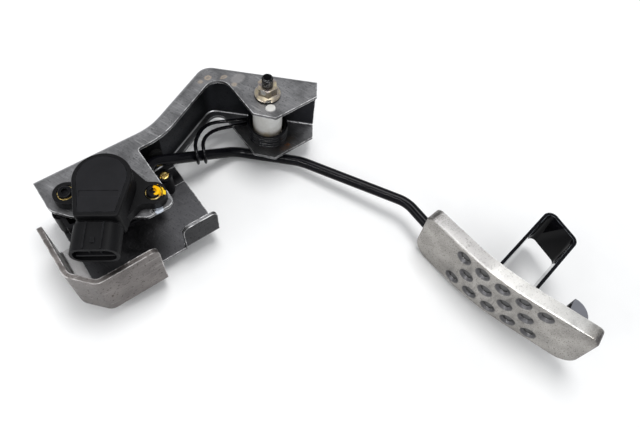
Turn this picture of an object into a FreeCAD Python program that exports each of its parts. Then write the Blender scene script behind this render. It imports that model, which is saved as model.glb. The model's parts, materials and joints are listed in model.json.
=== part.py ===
import FreeCAD, Part
import math
import os
from FreeCAD import Placement, Rotation, Vector

# Accelerator pedal with its position sensor: a pressed channel bracket carries an upright pivot, the pedal
# rod swings on it, and the rod's far end turns the lever of a sensor screwed to the bracket's top flange.
# Plan sizes are measured from the pivot axis, +Z runs up the pivot, and z 0 is the underside of the bracket.
# The finished pieces are moved so that the origin is the middle of the two bolt holes in the web.

doc = FreeCAD.newDocument("AcceleratorPedalSensor")
sheet = doc.addObject("Spreadsheet::Sheet", "Sizes")

drivingSizes = {
    # bracket
    "sheetThickness": 2.5,
    "bracketHeight": 50.5,
    "bendRadius": 1.5,
    "shearAllowance": 6.0,
    "bracketLeft": -164.0,
    "webY": 21.0,
    "webKneeX": -82.3,
    "webKneeRadius": 45.0,
    "webPeakX": -23.6,
    "webPeakY": 49.5,
    "webPeakRadius": 12.0,
    "webEndX": 38.0,
    "webEndY": -8.5,
    "pivotFlangeRightX": 28.7,
    "pivotFlangeY": -20.8,
    "pivotFlangeCornerX": -7.0,
    "pivotFlangeLeftX": -18.0,
    "pivotFlangeLeftY": -8.7,
    "topStripWidth": 13.4,
    "topInnerRadius": 10.0,
    "flangeCorner": 2.0,
    "bottomStripWidth": 7.7,
    "bottomInnerRadius": 8.0,
    "sensorFlangeRightX": -98.0,
    "sensorFlangeY": -42.0,
    "sensorFlangeCornerX": -117.0,
    "sensorFlangeElbowX": -155.0,
    "sensorFlangeElbowY": -16.0,
    "sensorFlangeLeftY": -4.5,
    "sensorFlangeRightCorner": 5.0,
    "sensorFlangeFrontCorner": 4.0,
    "sensorFlangeElbowRadius": 12.0,
    "sensorFlangeLeftRadius": 10.0,
    "basePlateRightX": -74.2,
    "basePlateY": -49.5,
    "basePlateCorner": 3.0,
    "frontTabLeftX": -100.5,
    "frontTabHeight": 26.0,
    "frontTabCorner": 5.0,
    "coinedStepY": -1.0,
    "coinedStepDepth": 0.5,
    "mountHoleLeftX": -152.0,
    "mountHoleRightX": -100.0,
    "mountHoleZ": 9.5,
    "mountHoleDiameter": 6.6,
    "toolHoleX": -112.8,
    "toolHoleY": -39.6,
    "toolHoleDiameter": 2.4,
    # corner guard plate under the connector
    "guardThickness": 3.2,
    "guardLeftX": -176.0,
    "guardFrontY": -61.0,
    "guardRightX": -121.8,
    "guardBackY": -4.0,
    "guardChamferX": 13.5,
    "guardChamferY": 15.5,
    "guardTopZ": 42.0,
    "guardBend": 5.0,
    "guardCornerBend": 8.0,
    "guardCorner": 5.0,
    # pivot
    "shaftDiameter": 12.0,
    "shaftCollarDiameter": 22.0,
    "shaftCollarBottomZ": -12.0,
    "threadDiameter": 8.0,
    "threadLength": 17.0,
    "threadChamfer": 0.8,
    "bushDiameter": 22.0,
    "bushSpigotDiameter": 15.0,
    "bushPegX": -5.2,
    "bushPegY": -11.6,
    "bushPegDiameter": 6.4,
    "bushLobeDiameter": 10.8,
    "bushLobeThickness": 3.0,
    "washerDiameter": 18.6,
    "washerThickness": 1.6,
    "nutAcrossFlats": 13.0,
    "nutFlangeDiameter": 17.6,
    "nutFlangeThickness": 1.8,
    "nutHeight": 8.2,
    "edgeBreak": 0.4,
    "runningFit": 0.05,
    "seatGap": 0.3,
    # return springs
    "springWire": 2.8,
    "springMeanDiameter": 28.6,
    "springPitch": 6.9,
    "springStartZ": 4.1,
    "springWholeTurns": 2,
    "springCornersPerTurn": 8,
    "springLegLength": 20.0,
    "lowerArmAngle": 163.8,
    "lowerArmLength": 40.0,
    "lowerHookX": -54.5,
    "upperArmAngle": 157.0,
    "upperArmLength": 46.0,
    "upperHookX": -60.5,
    "armRise": 1.3,
    "armRadius": 10.0,
    "hookLean": 5.0,
    "hookBack": 7.0,
    "hookBackRadius": 5.0,
    "hookDrop": 3.5,
    # pedal rod
    "rodDiameter": 8.0,
    "rodLevel": -6.0,
    "rodSaddleDepth": 1.2,
    "rodPassAngle": -43.9,
    "rodKneeReach": 23.6,
    "rodKneeRadius": 14.0,
    "rodShinReach": 28.8,
    "rodShinRadius": 40.0,
    "rodAnkleY": -106.0,
    "rodAnkleRadius": 25.0,
    "rodEndY": -152.0,
    "rodRiseX": -92.0,
    "rodRiseY": 6.7,
    "rodRiseDrop": 11.6,
    "rodRiseZ": "=leverTopZ - rodRiseDrop",
    "rodRiseRadius": 9.0,
    "rodPinBendDrop": 12.6,
    "rodPinBendZ": "=leverTopZ - rodPinBendDrop",
    "rodPinBendRadius": 4.5,
    "rodShoulderDrop": 7.6,
    "rodShoulderZ": "=leverTopZ - rodShoulderDrop",
    "rodSpigotDiameter": 6.0,
    "capDiameter": 9.2,
    "capTopThickness": 1.2,
    "pinRadius": "=sqrt(sensorX ^ 2 + sensorY ^ 2) - leverReach",
    "pedalTravel": 14.0,
    # pedal pad
    "padWidth": 50.0,
    "padThickness": 11.0,
    "padWall": 2.6,
    "padTopX": 48.4,
    "padTopY": -131.0,
    "padBendX": 53.4,
    "padBendY": -193.1,
    "padToeX": 78.5,
    "padToeY": -267.0,
    "padBendRadius": 210.0,
    "padUpperCorner": 6.0,
    "padLowerCorner": 14.0,
    "padMiddleZ": -6.0,
    "padEdgeRadius": 1.6,
    "padNotchGap": 0.6,
    "padHoleDiameter": 7.4,
    "padSinkDiameter": 10.4,
    "padHolePitch": 16.6,
    "padHoleRows": 5,
    "padHoleFirst": 38.0,
    "padMiddleRowShift": 8.0,
    "padRowPitch": 16.0,
    "padBossDiameter": 9.0,
    "padBossFromTop": 18.0,
    "padBossInset": 12.0,
    "padBossSpread": "=padWidth - 2 * padBossInset",
    "padLowBossFromTop": 106.5,
    "padStudDiameter": 5.0,
    "padNutAcrossFlats": 8.0,
    "padNutHeight": 4.0,
    "carrierRecess": 0.1,
    "linerStart": 33.0,
    "linerPastBoss": 9.5,
    "linerEnd": "=padLowBossFromTop + linerPastBoss",
    "linerThickness": 2.6,
    "carrierThickness": 2.0,
    "carrierStart": 6.0,
    "carrierEnd": 134.0,
    "carrierInset": 0.4,
    # strap and bumper behind the pad
    "strapThickness": 2.4,
    "strapWidth": 37.0,
    "strapAngle": 9.0,
    "strapReach": 69.0,
    "strapSpan": 30.5,
    "strapEndLean": 8.5,
    "strapCorner": 6.5,
    "strapFromTop": 58.2,
    "bumperFromTop": 115.0,
    "bumperLength": 13.5,
    "bumperDepth": 13.5,
    "bumperHeight": 36.0,
    "bumperCurve": 12.4,
    "bumperPlate": 1.6,
    "bumperPlateReach": 8.0,
    "bumperPlateFoot": 3.5,
    # sensor
    "sensorX": -128.7,
    "sensorY": -17.8,
    "sensorAngle": -33.5,
    "sensorPitch": 52.6,
    "sensorEarRadius": 7.8,
    "sensorEarThickness": 7.0,
    "sensorEarSink": 1.2,
    "sensorShoulderX": 9.5,
    "sensorShoulderY": 19.4,
    "sensorShoulderRadius": 8.0,
    "sensorShoulderFootX": 21.5,
    "sensorShoulderFootRadius": 4.0,
    "sensorHaunchX": 12.0,
    "sensorHaunchY": -18.0,
    "sensorHaunchFootX": 19.0,
    "sensorHaunchFootRadius": 6.0,
    "sensorBodyRadius": 17.5,
    "sensorBodyHeight": 22.0,
    "sensorBodyX": -1.6,
    "sensorBodyY": 2.0,
    "sensorFrontY": -25.0,
    "sensorFrontWidth": 25.5,
    "sensorFrontCorner": 3.0,
    "sensorFloor": 2.4,
    "coverInset": 2.7,
    "coverThickness": 2.6,
    "coverGroove": 0.25,
    "coverPanelWidth": 23.0,
    "coverPanelHeight": 4.4,
    "coverPanelY": -9.7,
    "coverPanelX": -1.9,
    "coverPanelDepth": 0.35,
    "coverPanelCorner": 0.8,
    "cavityInset": 4.0,
    "boardLedge": 1.4,
    "boardZ": 14.0,
    "boardThickness": 1.4,
    "connectorX": -2.4,
    "connectorWidth": 28.0,
    "connectorHeight": 15.8,
    "connectorBottomZ": 2.2,
    "connectorMouthY": -44.5,
    "connectorCorner": 7.0,
    "connectorNeckLength": 1.8,
    "connectorNeckDepth": 1.0,
    "connectorWall": 1.8,
    "connectorDepth": 13.0,
    "connectorRib": 0.9,
    "connectorRibSpan": 10.0,
    "connectorNubY": -38.5,
    "connectorNubWidth": 2.2,
    "connectorNubLength": 3.2,
    "terminalPitch": 6.4,
    "terminalRowPitch": 5.0,
    "terminalWidth": 1.5,
    "terminalThickness": 0.8,
    "terminalReach": 8.0,
    "sensorScrewDiameter": 5.0,
    "sensorScrewHead": 8.8,
    "sensorScrewHeadHeight": 2.0,
    "sensorScrewHeadRound": 1.2,
    "sensorScrewSocket": 4.0,
    "sensorScrewSocketDepth": 1.6,
    "sensorWasherDiameter": 10.2,
    "sensorWasherThickness": 1.2,
    "sleeveDiameter": 8.0,
    "weldNutDiameter": 10.0,
    "weldNutHeight": 3.4,
    "pilotDiameter": 16.0,
    "pilotHeight": 2.3,
    "rotorDiameter": 12.0,
    "rotorDiscDiameter": 18.0,
    "rotorDiscThickness": 2.0,
    "rotorStubDiameter": 8.0,
    "rotorFlatDepth": 1.2,
    "sealDiameter": 22.0,
    "sealWidth": 1.6,
    "sealHeight": 1.3,
    # drive lever on the rotor
    "leverDrop": 4.4,
    "leverTopZ": "=bracketHeight - sheetThickness - leverDrop",
    "leverThickness": 6.2,
    "leverHubDiameter": 16.0,
    "leverReach": 28.425,
    "leverTipPastPin": 6.1,
    "leverTipRadius": "=leverReach + leverTipPastPin",
    "leverArm": 3.6,
    "leverRoot": 7.2,
    "leverSlotBeforePin": 6.0,
    "leverSlotStart": "=leverReach - leverSlotBeforePin",
    "slotPlay": 0.45,
    "leverRatio": 3.36,
    # lever housing under the top flange
    "housingFloorZ": 16.0,
    "housingFloor": 3.0,
    "housingWall": 2.5,
    "housingLeftX": -160.5,
    "housingRightX": -97.0,
    "housingBackY": 16.5,
    "housingFrontY": -21.0,
    "housingFrontLength": 14.0,
    "housingTopGap": 1.0,
    "housingCorner": 3.0,
    "housingEarDiameter": 10.4,
    "housingLeftEarX": -159.4,
    "housingLeftEarY": 10.5,
    "housingRightEarX": -88.0,
    "housingRightEarY": -1.0,
    "housingScrewDiameter": 4.0,
    "housingScrewHead": 7.2,
    "housingScrewHeadHeight": 2.4,
    "housingScrewSlot": 1.0,
    "stopDiameter": 9.0,
    "stopX": -86.0,
}

for row, alias in enumerate(drivingSizes, 1):
    sheet.set(f"A{row}", alias)
    sheet.setAlias(f"B{row}", alias)
for row, value in enumerate(drivingSizes.values(), 1):
    sheet.set(f"B{row}", str(value))
doc.recompute()


def size(alias):
    return float(sheet.get(alias))


def boreFor(alias):
    # the diameter of a hole that clears a round piece
    return size(alias) + 2 * size("runningFit")


# Plane geometry

roundShare = 0.99    # how much of half a width its two end corners take; a short straight stays between them


def meet(a, b, c, d):
    # where the line through a and b crosses the line through c and d
    ab, cd, ac = b - a, d - c, c - a
    return a + ab * ((ac.x * cd.y - ac.y * cd.x) / (ab.x * cd.y - ab.y * cd.x))


def beside(a, b, distance):
    # the run from a to b, moved to its right
    along = (b - a).normalize()
    step = Vector(along.y, -along.x, 0) * distance
    return a + step, b + step


def offsetPath(points, distance):
    # an open path moved to its right, with its corners where the moved runs meet
    runs = [beside(a, b, distance) for a, b in zip(points, points[1:])]
    corners = [meet(*first, *second) for first, second in zip(runs, runs[1:])]
    return [runs[0][0]] + corners + [runs[-1][1]]


def roundCorner(before, corner, after, radius):
    # start, middle and end of the arc that rounds a corner, in the plane or in space
    back = (before - corner).normalize()
    ahead = (after - corner).normalize()
    half = back.getAngle(ahead) / 2
    tangent = radius / math.tan(half)
    centre = corner + (back + ahead).normalize() * (radius / math.sin(half))
    middle = centre + (corner - centre).normalize() * radius
    return corner + back * tangent, middle, corner + ahead * tangent


def roundPath(points, radii, closed=False):
    # straight runs joined by tangent arcs; a radius of 0 leaves the corner sharp
    count = len(points)
    places = range(count) if closed else range(1, count - 1)
    arcs = {}
    for i in places:
        if radii[i] > 0:
            arcs[i] = roundCorner(points[i - 1], points[i], points[(i + 1) % count], radii[i])
    pieces = []
    for i in range(count if closed else count - 1):
        after = (i + 1) % count
        start = arcs[i][2] if i in arcs else points[i]
        end = arcs[after][0] if after in arcs else points[after]
        if start.distanceToPoint(end) > 1e-6:
            pieces.append(Part.LineSegment(start, end))
        if after in arcs:
            pieces.append(Part.Arc(*arcs[after]))
    return pieces


def roundLoop(corners):
    # closed outline from (x, y, radius) corners
    points = [Vector(x, y, 0) for x, y, _ in corners]
    return roundPath(points, [radius for _, _, radius in corners], closed=True)


def stripLoop(points, radii, thickness):
    # closed outline of a bent strip: the given side, and the side to its right
    other = offsetPath(points, thickness)
    otherRadii = [0] * len(points)
    for i in range(1, len(points) - 1):
        turn = (points[i] - points[i - 1]).cross(points[i + 1] - points[i]).z
        otherRadii[i] = radii[i] + math.copysign(thickness, turn)
    return roundPath(points + other[::-1], list(radii) + otherRadii[::-1], closed=True)


def turned(x, y, degrees):
    angle = math.radians(degrees)
    return Vector(x * math.cos(angle) - y * math.sin(angle), x * math.sin(angle) + y * math.cos(angle), 0)


def circle(x, y, diameter):
    return [Part.Circle(Vector(x, y, 0), Vector(0, 0, 1), diameter / 2)]


# Document helpers

origin = Vector(-(size("mountHoleLeftX") + size("mountHoleRightX")) / 2, -size("webY"), -size("mountHoleZ"))
sensorPlace = Placement(Vector(size("sensorX"), size("sensorY"), size("bracketHeight")),
                        Rotation(Vector(0, 0, 1), size("sensorAngle")))
subParts = []


def asSubPart(item, label, place=Placement()):
    item.Label = label
    item.Placement = Placement(origin, Rotation()) * place
    subParts.append(item)
    return item


def newBody(label, place=Placement()):
    return asSubPart(doc.addObject("PartDesign::Body", label + "Body"), label, place)


def planeOf(body, role):
    return next(plane for plane in body.Origin.OriginFeatures if plane.Role == role)


def newSketch(body, pieces, level="0", role="XY_Plane"):
    # level is a distance along the plane's normal, or a placement for a sketch that lies at a slant
    sketch = body.newObject("Sketcher::SketchObject", "Sketch")
    sketch.AttachmentSupport = [(planeOf(body, role), "")]
    sketch.MapMode = "FlatFace"
    if isinstance(level, Placement):
        sketch.AttachmentOffset = level
    else:
        sketch.setExpression("AttachmentOffset.Base.z", level)
    for piece in pieces:
        sketch.addGeometry(piece, False)
    return sketch


def pad(body, pieces, length, level="0", role="XY_Plane", centred=False):
    feature = body.newObject("PartDesign::Pad", "Pad")
    feature.Profile = newSketch(body, pieces, level, role)
    feature.setExpression("Length", length)
    feature.Midplane = centred
    doc.recompute()
    return feature


def pocket(body, pieces, depth, level="0", role="XY_Plane", upward=False, centred=False):
    volume = body.Shape.Volume
    feature = body.newObject("PartDesign::Pocket", "Pocket")
    feature.Profile = newSketch(body, pieces, level, role)
    feature.setExpression("Length", depth)
    feature.Reversed = upward
    feature.Midplane = centred
    doc.recompute()
    if not body.Shape.Volume < volume:
        raise ValueError(f"a pocket in {body.Label} cuts nothing")
    return feature


def revolve(body, corners, kind="Revolution"):
    # turns (radius, height, rounding) corners about the body's Z axis; a Groove takes material away
    feature = body.newObject("PartDesign::" + kind, kind)
    sketch = newSketch(body, roundLoop(corners), "0", "XZ_Plane")
    feature.Profile = sketch
    feature.ReferenceAxis = (sketch, ["V_Axis"])
    feature.Angle = 360
    doc.recompute()
    return feature


def ring(body, inner, outer, bottom, top, edge=0):
    # a turned ring; both outer edges are broken where an edge size is given
    corners = [(inner, bottom, 0), (outer - edge, bottom, 0), (outer, bottom + edge, 0),
               (outer, top - edge, 0), (outer - edge, top, 0), (inner, top, 0)]
    return revolve(body, corners if edge else [corners[i] for i in (0, 1, 4, 5)])


def shell(body, wall, isOpen):
    # hollows the body inwards and leaves the faces that the test accepts open
    base = body.Tip
    names = [f"Face{i}" for i, face in enumerate(base.Shape.Faces, 1) if isOpen(face)]
    feature = body.newObject("PartDesign::Thickness", "Thickness")
    feature.Base = (base, names)
    feature.setExpression("Value", wall)
    feature.Reversed = True
    feature.Join = "Intersection"
    doc.recompute()
    return feature


def fillet(body, radius, wanted):
    # rounds the edges of the body that the test accepts
    base = body.Tip
    names = [f"Edge{i}" for i, edge in enumerate(base.Shape.Edges, 1) if wanted(edge)]
    if not names:
        raise ValueError(f"no edges to round on {body.Label}")
    feature = body.newObject("PartDesign::Fillet", "Fillet")
    feature.Base = (base, names)
    feature.setExpression("Radius", radius)
    doc.recompute()
    return feature


def flatAt(shape, level, axis="Z"):
    # whether the whole edge or face lies at one level
    box = shape.BoundBox
    low, high = getattr(box, axis + "Min"), getattr(box, axis + "Max")
    return abs(low - level) < 1e-4 and abs(high - level) < 1e-4


def near(value, wanted):
    return abs(value - wanted) < 1e-4


def hexagon(acrossFlats):
    corner = acrossFlats / 2 / math.cos(math.pi / 6)
    return roundLoop([(*turned(corner, 0, 60 * i)[:2], 0) for i in range(6)])


def sweep(label, points, radii, radiusExpression):
    # a round bar along straight runs and tangent arcs
    path = doc.addObject("Part::Feature", label + "Path")
    path.Shape = Part.Wire([piece.toShape() for piece in roundPath(points, radii)])
    section = doc.addObject("Part::Circle", label + "Section")
    section.setExpression("Radius", radiusExpression)
    section.Placement = Placement(points[0], Rotation(Vector(0, 0, 1), points[1] - points[0]))
    bar = doc.addObject("Part::Sweep", label + "Sweep")
    bar.Sections = [section]
    bar.Spine = (path, [f"Edge{i}" for i in range(1, len(path.Shape.Edges) + 1)])
    bar.Solid = True
    bar.Frenet = True
    doc.recompute()
    return bar


# Bracket

sheetThickness = size("sheetThickness")
bracketHeight = size("bracketHeight")
webPeak = Vector(size("webPeakX"), size("webPeakY"), 0)
webEnd = Vector(size("webEndX"), size("webEndY"), 0)
shear = size("shearAllowance")
webPath = [
    Vector(size("bracketLeft") - shear, size("webY"), 0),
    Vector(size("webKneeX"), size("webY"), 0),
    webPeak,
    webEnd + (webEnd - webPeak).normalize() * shear,
]
webRadii = [0, size("webKneeRadius"), size("webPeakRadius"), 0]
bendLap = size("bendRadius") + sheetThickness + 1
webInside = offsetPath(webPath, sheetThickness)
topInside = offsetPath(webPath, size("topStripWidth"))
bottomInside = offsetPath(webPath, size("bottomStripWidth"))
pivotFlangeLeft = size("pivotFlangeLeftX")


def uprightAt(x, run):
    # where the line through a run crosses the upright line at x
    return meet(*run, Vector(x, 0, 0), Vector(x, 1, 0))


def flangeStart():
    # the outline that both flanges share: along the web's bend, round the pivot and back to the inner corner
    radii = [0, size("webKneeRadius") + bendLap, size("webPeakRadius") - bendLap, 0]
    corners = [(p.x, p.y, radius) for p, radius in zip(offsetPath(webPath, bendLap), radii)]
    corners += [
        (size("pivotFlangeRightX") + 2 * shear, size("pivotFlangeY"), 0),
        (size("pivotFlangeCornerX"), size("pivotFlangeY"), size("flangeCorner")),
        (pivotFlangeLeft, size("pivotFlangeLeftY"), size("flangeCorner")),
    ]
    return corners


def buildBracket():
    body = newBody("bracket")
    channel(body)

    inner = uprightAt(pivotFlangeLeft, topInside[1:3])
    top = flangeStart() + [
        (inner.x, inner.y, size("topInnerRadius")),
        (topInside[1].x, topInside[1].y, size("webKneeRadius") + size("topStripWidth")),
        (size("sensorFlangeRightX"), topInside[1].y, size("flangeCorner")),
        (size("sensorFlangeRightX"), size("sensorFlangeY"), size("sensorFlangeRightCorner")),
        (size("sensorFlangeCornerX"), size("sensorFlangeY"), size("sensorFlangeFrontCorner")),
        (size("sensorFlangeElbowX"), size("sensorFlangeElbowY"), size("sensorFlangeElbowRadius")),
        (size("bracketLeft"), size("sensorFlangeLeftY"), size("sensorFlangeLeftRadius")),
        (size("bracketLeft"), topInside[1].y, 0),
        (size("bracketLeft") - shear, topInside[1].y, 0),
    ]
    pad(body, roundLoop(top), "Sizes.sheetThickness", "Sizes.bracketHeight - Sizes.sheetThickness")

    inner = uprightAt(pivotFlangeLeft, bottomInside[1:3])
    elbow = uprightAt(size("basePlateRightX"), bottomInside[1:3])
    tabFoot = size("basePlateY") + bendLap
    base = flangeStart() + [
        (inner.x, inner.y, size("bottomInnerRadius")),
        (elbow.x, elbow.y, size("basePlateCorner")),
        (size("basePlateRightX"), tabFoot, 0),
        (size("frontTabLeftX"), tabFoot, 0),
        (size("frontTabLeftX"), size("basePlateY"), 0),
        (size("bracketLeft"), size("basePlateY"), size("basePlateCorner")),
        (size("bracketLeft"), topInside[1].y, 0),
        (size("bracketLeft") - shear, topInside[1].y, 0),
    ]
    pad(body, roundLoop(base), "Sizes.sheetThickness")
    frontTab(body)
    shearEnds(body)
    pierce(body)
    return body


def channel(body):
    # web and both bends, bent from one sheet along the web's path
    outer = size("bendRadius") + sheetThickness
    web, top = size("webY"), bracketHeight
    section = [
        (web, 0, outer),
        (web, top, outer),
        (web - bendLap - 1, top, 0),
        (web - bendLap - 1, top - sheetThickness, 0),
        (web - sheetThickness, top - sheetThickness, size("bendRadius")),
        (web - sheetThickness, sheetThickness, size("bendRadius")),
        (web - bendLap - 1, sheetThickness, 0),
        (web - bendLap - 1, 0, 0),
    ]
    profile = newSketch(body, roundLoop(section), "Sizes.bracketLeft - Sizes.shearAllowance", "YZ_Plane")
    spine = newSketch(body, roundPath(webPath, webRadii))
    feature = body.newObject("PartDesign::AdditivePipe", "Channel")
    feature.Profile = profile
    feature.Spine = (spine, [f"Edge{i}" for i in range(1, len(spine.Geometry) + 1)])
    doc.recompute()


def frontTab(body):
    # the short tab bent up from the base plate's front edge
    front = size("basePlateY")
    section = [
        (front, 0, size("bendRadius") + sheetThickness),
        (front, size("frontTabHeight"), 0),
        (front + sheetThickness, size("frontTabHeight"), 0),
        (front + sheetThickness, sheetThickness, size("bendRadius")),
        (front + bendLap + 1, sheetThickness, 0),
        (front + bendLap + 1, 0, 0),
    ]
    pad(body, roundLoop(section), "Sizes.basePlateRightX - Sizes.frontTabLeftX", "Sizes.frontTabLeftX",
        "YZ_Plane")
    fillet(body, "Sizes.frontTabCorner", lambda edge: abs(edge.BoundBox.YLength - sheetThickness) < 1e-4
           and flatAt(edge, size("frontTabHeight")))


def pierce(body):
    # every hole in the bracket
    above = "Sizes.bracketHeight + 1"
    through = "Sizes.sheetThickness + 2"
    pocket(body, circle(0, 0, boreFor("bushSpigotDiameter")), "Sizes.bracketHeight + 2", above)
    pocket(body, circle(size("bushPegX"), size("bushPegY"), boreFor("bushPegDiameter")), through, above)
    pocket(body, circle(size("sensorX"), size("sensorY"), boreFor("pilotDiameter")), through, above)
    for side in (-1, 1):
        hole = sensorPlace.multVec(Vector(side * size("sensorPitch") / 2, 0, 0))
        pocket(body, circle(hole.x, hole.y, boreFor("sensorScrewDiameter")), through, above)
    pocket(body, circle(size("toolHoleX"), size("toolHoleY"), size("toolHoleDiameter")), through, above)
    for ear in ("Left", "Right"):
        pocket(body, circle(size(f"housing{ear}EarX"), size(f"housing{ear}EarY"),
                            boreFor("housingScrewDiameter")),
               through, "Sizes.sheetThickness + 1")
    for side in ("Left", "Right"):
        pocket(body, circle(size(f"mountHole{side}X"), size("mountHoleZ"), size("mountHoleDiameter")),
               "4 * Sizes.sheetThickness", "-Sizes.webY", "XZ_Plane", centred=True)
    stepBack = bottomInside[1].y + 1
    step = [
        (size("sensorFlangeRightX"), size("coinedStepY"), 0),
        (size("basePlateRightX") + 1, size("coinedStepY"), 0),
        (size("basePlateRightX") + 1, stepBack, 0),
        (size("sensorFlangeRightX"), stepBack, 0),
    ]
    pocket(body, roundLoop(step), "Sizes.coinedStepDepth", "Sizes.sheetThickness")


def shearEnds(body):
    # both ends of the channel are cut straight after bending
    left = size("bracketLeft")
    far = 2 * shear
    pocket(body, roundLoop([(left, size("webY") + far, 0), (left - far, size("webY") + far, 0),
                            (left - far, size("basePlateY"), 0), (left, size("basePlateY"), 0)]),
           "Sizes.bracketHeight + 2", "Sizes.bracketHeight + 1")
    toe = Vector(size("pivotFlangeRightX"), size("pivotFlangeY"), 0)
    cut = (webEnd - toe).normalize()
    across = Vector(cut.y, -cut.x, 0)
    corners = [
        toe - cut * far,
        webEnd + cut * far,
        webEnd + (cut + across) * far,
        toe + (across * 2 - cut) * far,
    ]
    pocket(body, roundLoop([(p.x, p.y, 0) for p in corners]),
           "Sizes.bracketHeight + 2", "Sizes.bracketHeight + 1")


# Corner plate

def buildCornerPlate():
    # a tray-shaped guard bent from thicker sheet, open to the back, the right and above
    body = newBody("corner_plate")
    left, front = size("guardLeftX"), size("guardFrontY")
    right, back = size("guardRightX"), size("guardBackY")
    top, underside = size("guardTopZ"), -size("guardThickness")
    outline = [
        (left, back, 0),
        (left, front + size("guardChamferY"), size("guardCornerBend")),
        (left + size("guardChamferX"), front, size("guardCornerBend")),
        (right, front, 0),
        (right, back, 0),
    ]
    pad(body, roundLoop(outline), "Sizes.guardTopZ + Sizes.guardThickness", "-Sizes.guardThickness")
    fillet(body, "Sizes.guardBend", lambda edge: flatAt(edge, underside) and not flatAt(edge, back, "Y")
           and not flatAt(edge, right, "X"))
    shell(body, "Sizes.guardThickness", lambda face: flatAt(face, top) or flatAt(face, back, "Y")
          or flatAt(face, right, "X"))
    fillet(body, "Sizes.guardCorner", lambda edge: flatAt(edge, top)
           and near(edge.Length, size("guardThickness"))
           and (flatAt(edge, back, "Y") or flatAt(edge, right, "X")))


# Pivot

bushProud = size("runningFit") + size("seatGap")
shoulderZ = bracketHeight + bushProud + size("seatGap")
collarTopZ = -bushProud - size("seatGap")
rodRadius = size("rodDiameter") / 2
rodOffset = size("shaftCollarDiameter") / 2 + rodRadius - size("rodSaddleDepth")
rodPass = turned(1, 0, size("rodPassAngle"))
rodFoot = turned(0, -rodOffset, size("rodPassAngle")) + Vector(0, 0, size("rodLevel"))


def bodyAt(label, x, y, z, degrees=0):
    return newBody(label, Placement(Vector(x, y, z), Rotation(Vector(0, 0, 1), degrees)))


def buildShaft():
    body = newBody("pivot_shaft")
    diameters = ("shaftDiameter", "shaftCollarDiameter", "threadDiameter")
    radius, collar, thread = (size(name) / 2 for name in diameters)
    tip, edge = shoulderZ + size("threadLength"), size("threadChamfer")
    bottom = size("shaftCollarBottomZ")
    revolve(body, [(0, bottom, 0), (collar - edge, bottom, 0), (collar, bottom + edge, 0),
                   (collar, collarTopZ, 0), (radius, collarTopZ, 0), (radius, shoulderZ, 0),
                   (thread, shoulderZ, 0), (thread, tip - edge, 0), (thread - edge, tip, 0), (0, tip, 0)])
    saddle = Placement(rodFoot, Rotation(Vector(0, 0, 1), rodPass))
    pocket(body, circle(0, 0, boreFor("rodDiameter")), "2 * Sizes.shaftCollarDiameter",
           saddle, centred=True)


def buildBush():
    body = newBody("pivot_bush")
    bore = size("shaftDiameter") / 2 + size("runningFit")
    spigot, outer = size("bushSpigotDiameter") / 2, size("bushDiameter") / 2
    underFlange = bracketHeight - sheetThickness
    revolve(body, [(bore, -bushProud, 0), (spigot, -bushProud, 0), (spigot, sheetThickness, 0),
                   (outer, sheetThickness, 0), (outer, underFlange, 0), (spigot, underFlange, 0),
                   (spigot, bracketHeight + bushProud, 0), (bore, bracketHeight + bushProud, 0)])
    pegX, pegY = size("bushPegX"), size("bushPegY")
    pad(body, circle(pegX, pegY, size("bushLobeDiameter")), "Sizes.bushLobeThickness",
        "Sizes.bracketHeight - Sizes.sheetThickness - Sizes.bushLobeThickness")
    pad(body, circle(pegX, pegY, size("bushPegDiameter")), "Sizes.sheetThickness + Sizes.edgeBreak",
        "Sizes.bracketHeight - Sizes.sheetThickness")


def chamferHexagon(body, flat, top):
    # the turned 30 degree chamfer on a nut's top corners
    reach = flat / math.cos(math.pi / 6) + 1
    drop = (reach - flat + size("edgeBreak")) * math.tan(math.pi / 6)
    revolve(body, [(flat - size("edgeBreak"), top, 0), (reach, top - drop, 0), (reach, top + 1, 0),
                   (flat - size("edgeBreak"), top + 1, 0)], "Groove")


def buildPivotFasteners():
    bore = size("threadDiameter") / 2 + size("runningFit")
    washer = bodyAt("pivot_washer", 0, 0, shoulderZ)
    ring(washer, bore, size("washerDiameter") / 2, 0, size("washerThickness"), size("edgeBreak"))

    nut = bodyAt("pivot_nut", 0, 0, shoulderZ + size("washerThickness"))
    flange = size("nutFlangeDiameter") / 2
    flat = size("nutAcrossFlats") / 2
    pad(nut, hexagon(size("nutAcrossFlats")), "Sizes.nutHeight")
    revolve(nut, [(0, 0, 0), (flange, 0, 0), (flange, size("edgeBreak"), 0),
                  (flat, size("nutFlangeThickness"), 0), (0, size("nutFlangeThickness"), 0)])
    pocket(nut, circle(0, 0, 2 * bore), "Sizes.nutHeight + 1", "-Sizes.edgeBreak", upward=True)
    chamferHexagon(nut, flat, size("nutHeight"))


# Pedal rod

sensorBearing = math.degrees(math.atan2(size("sensorY"), size("sensorX")))
pinAngle = sensorBearing - size("pedalTravel") / 2
pinPlace = turned(size("pinRadius"), 0, pinAngle)
rodRise = Vector(size("rodRiseX"), size("rodRiseY"), size("rodRiseZ"))
rodKnee = rodFoot - rodPass * size("rodKneeReach")
rodShin = rodFoot + rodPass * size("rodShinReach")


def rodAt(x):
    # the rod's axis on its slope between the rise and the knee
    return rodRise + (rodKnee - rodRise) * ((x - rodRise.x) / (rodKnee.x - rodRise.x))


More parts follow.
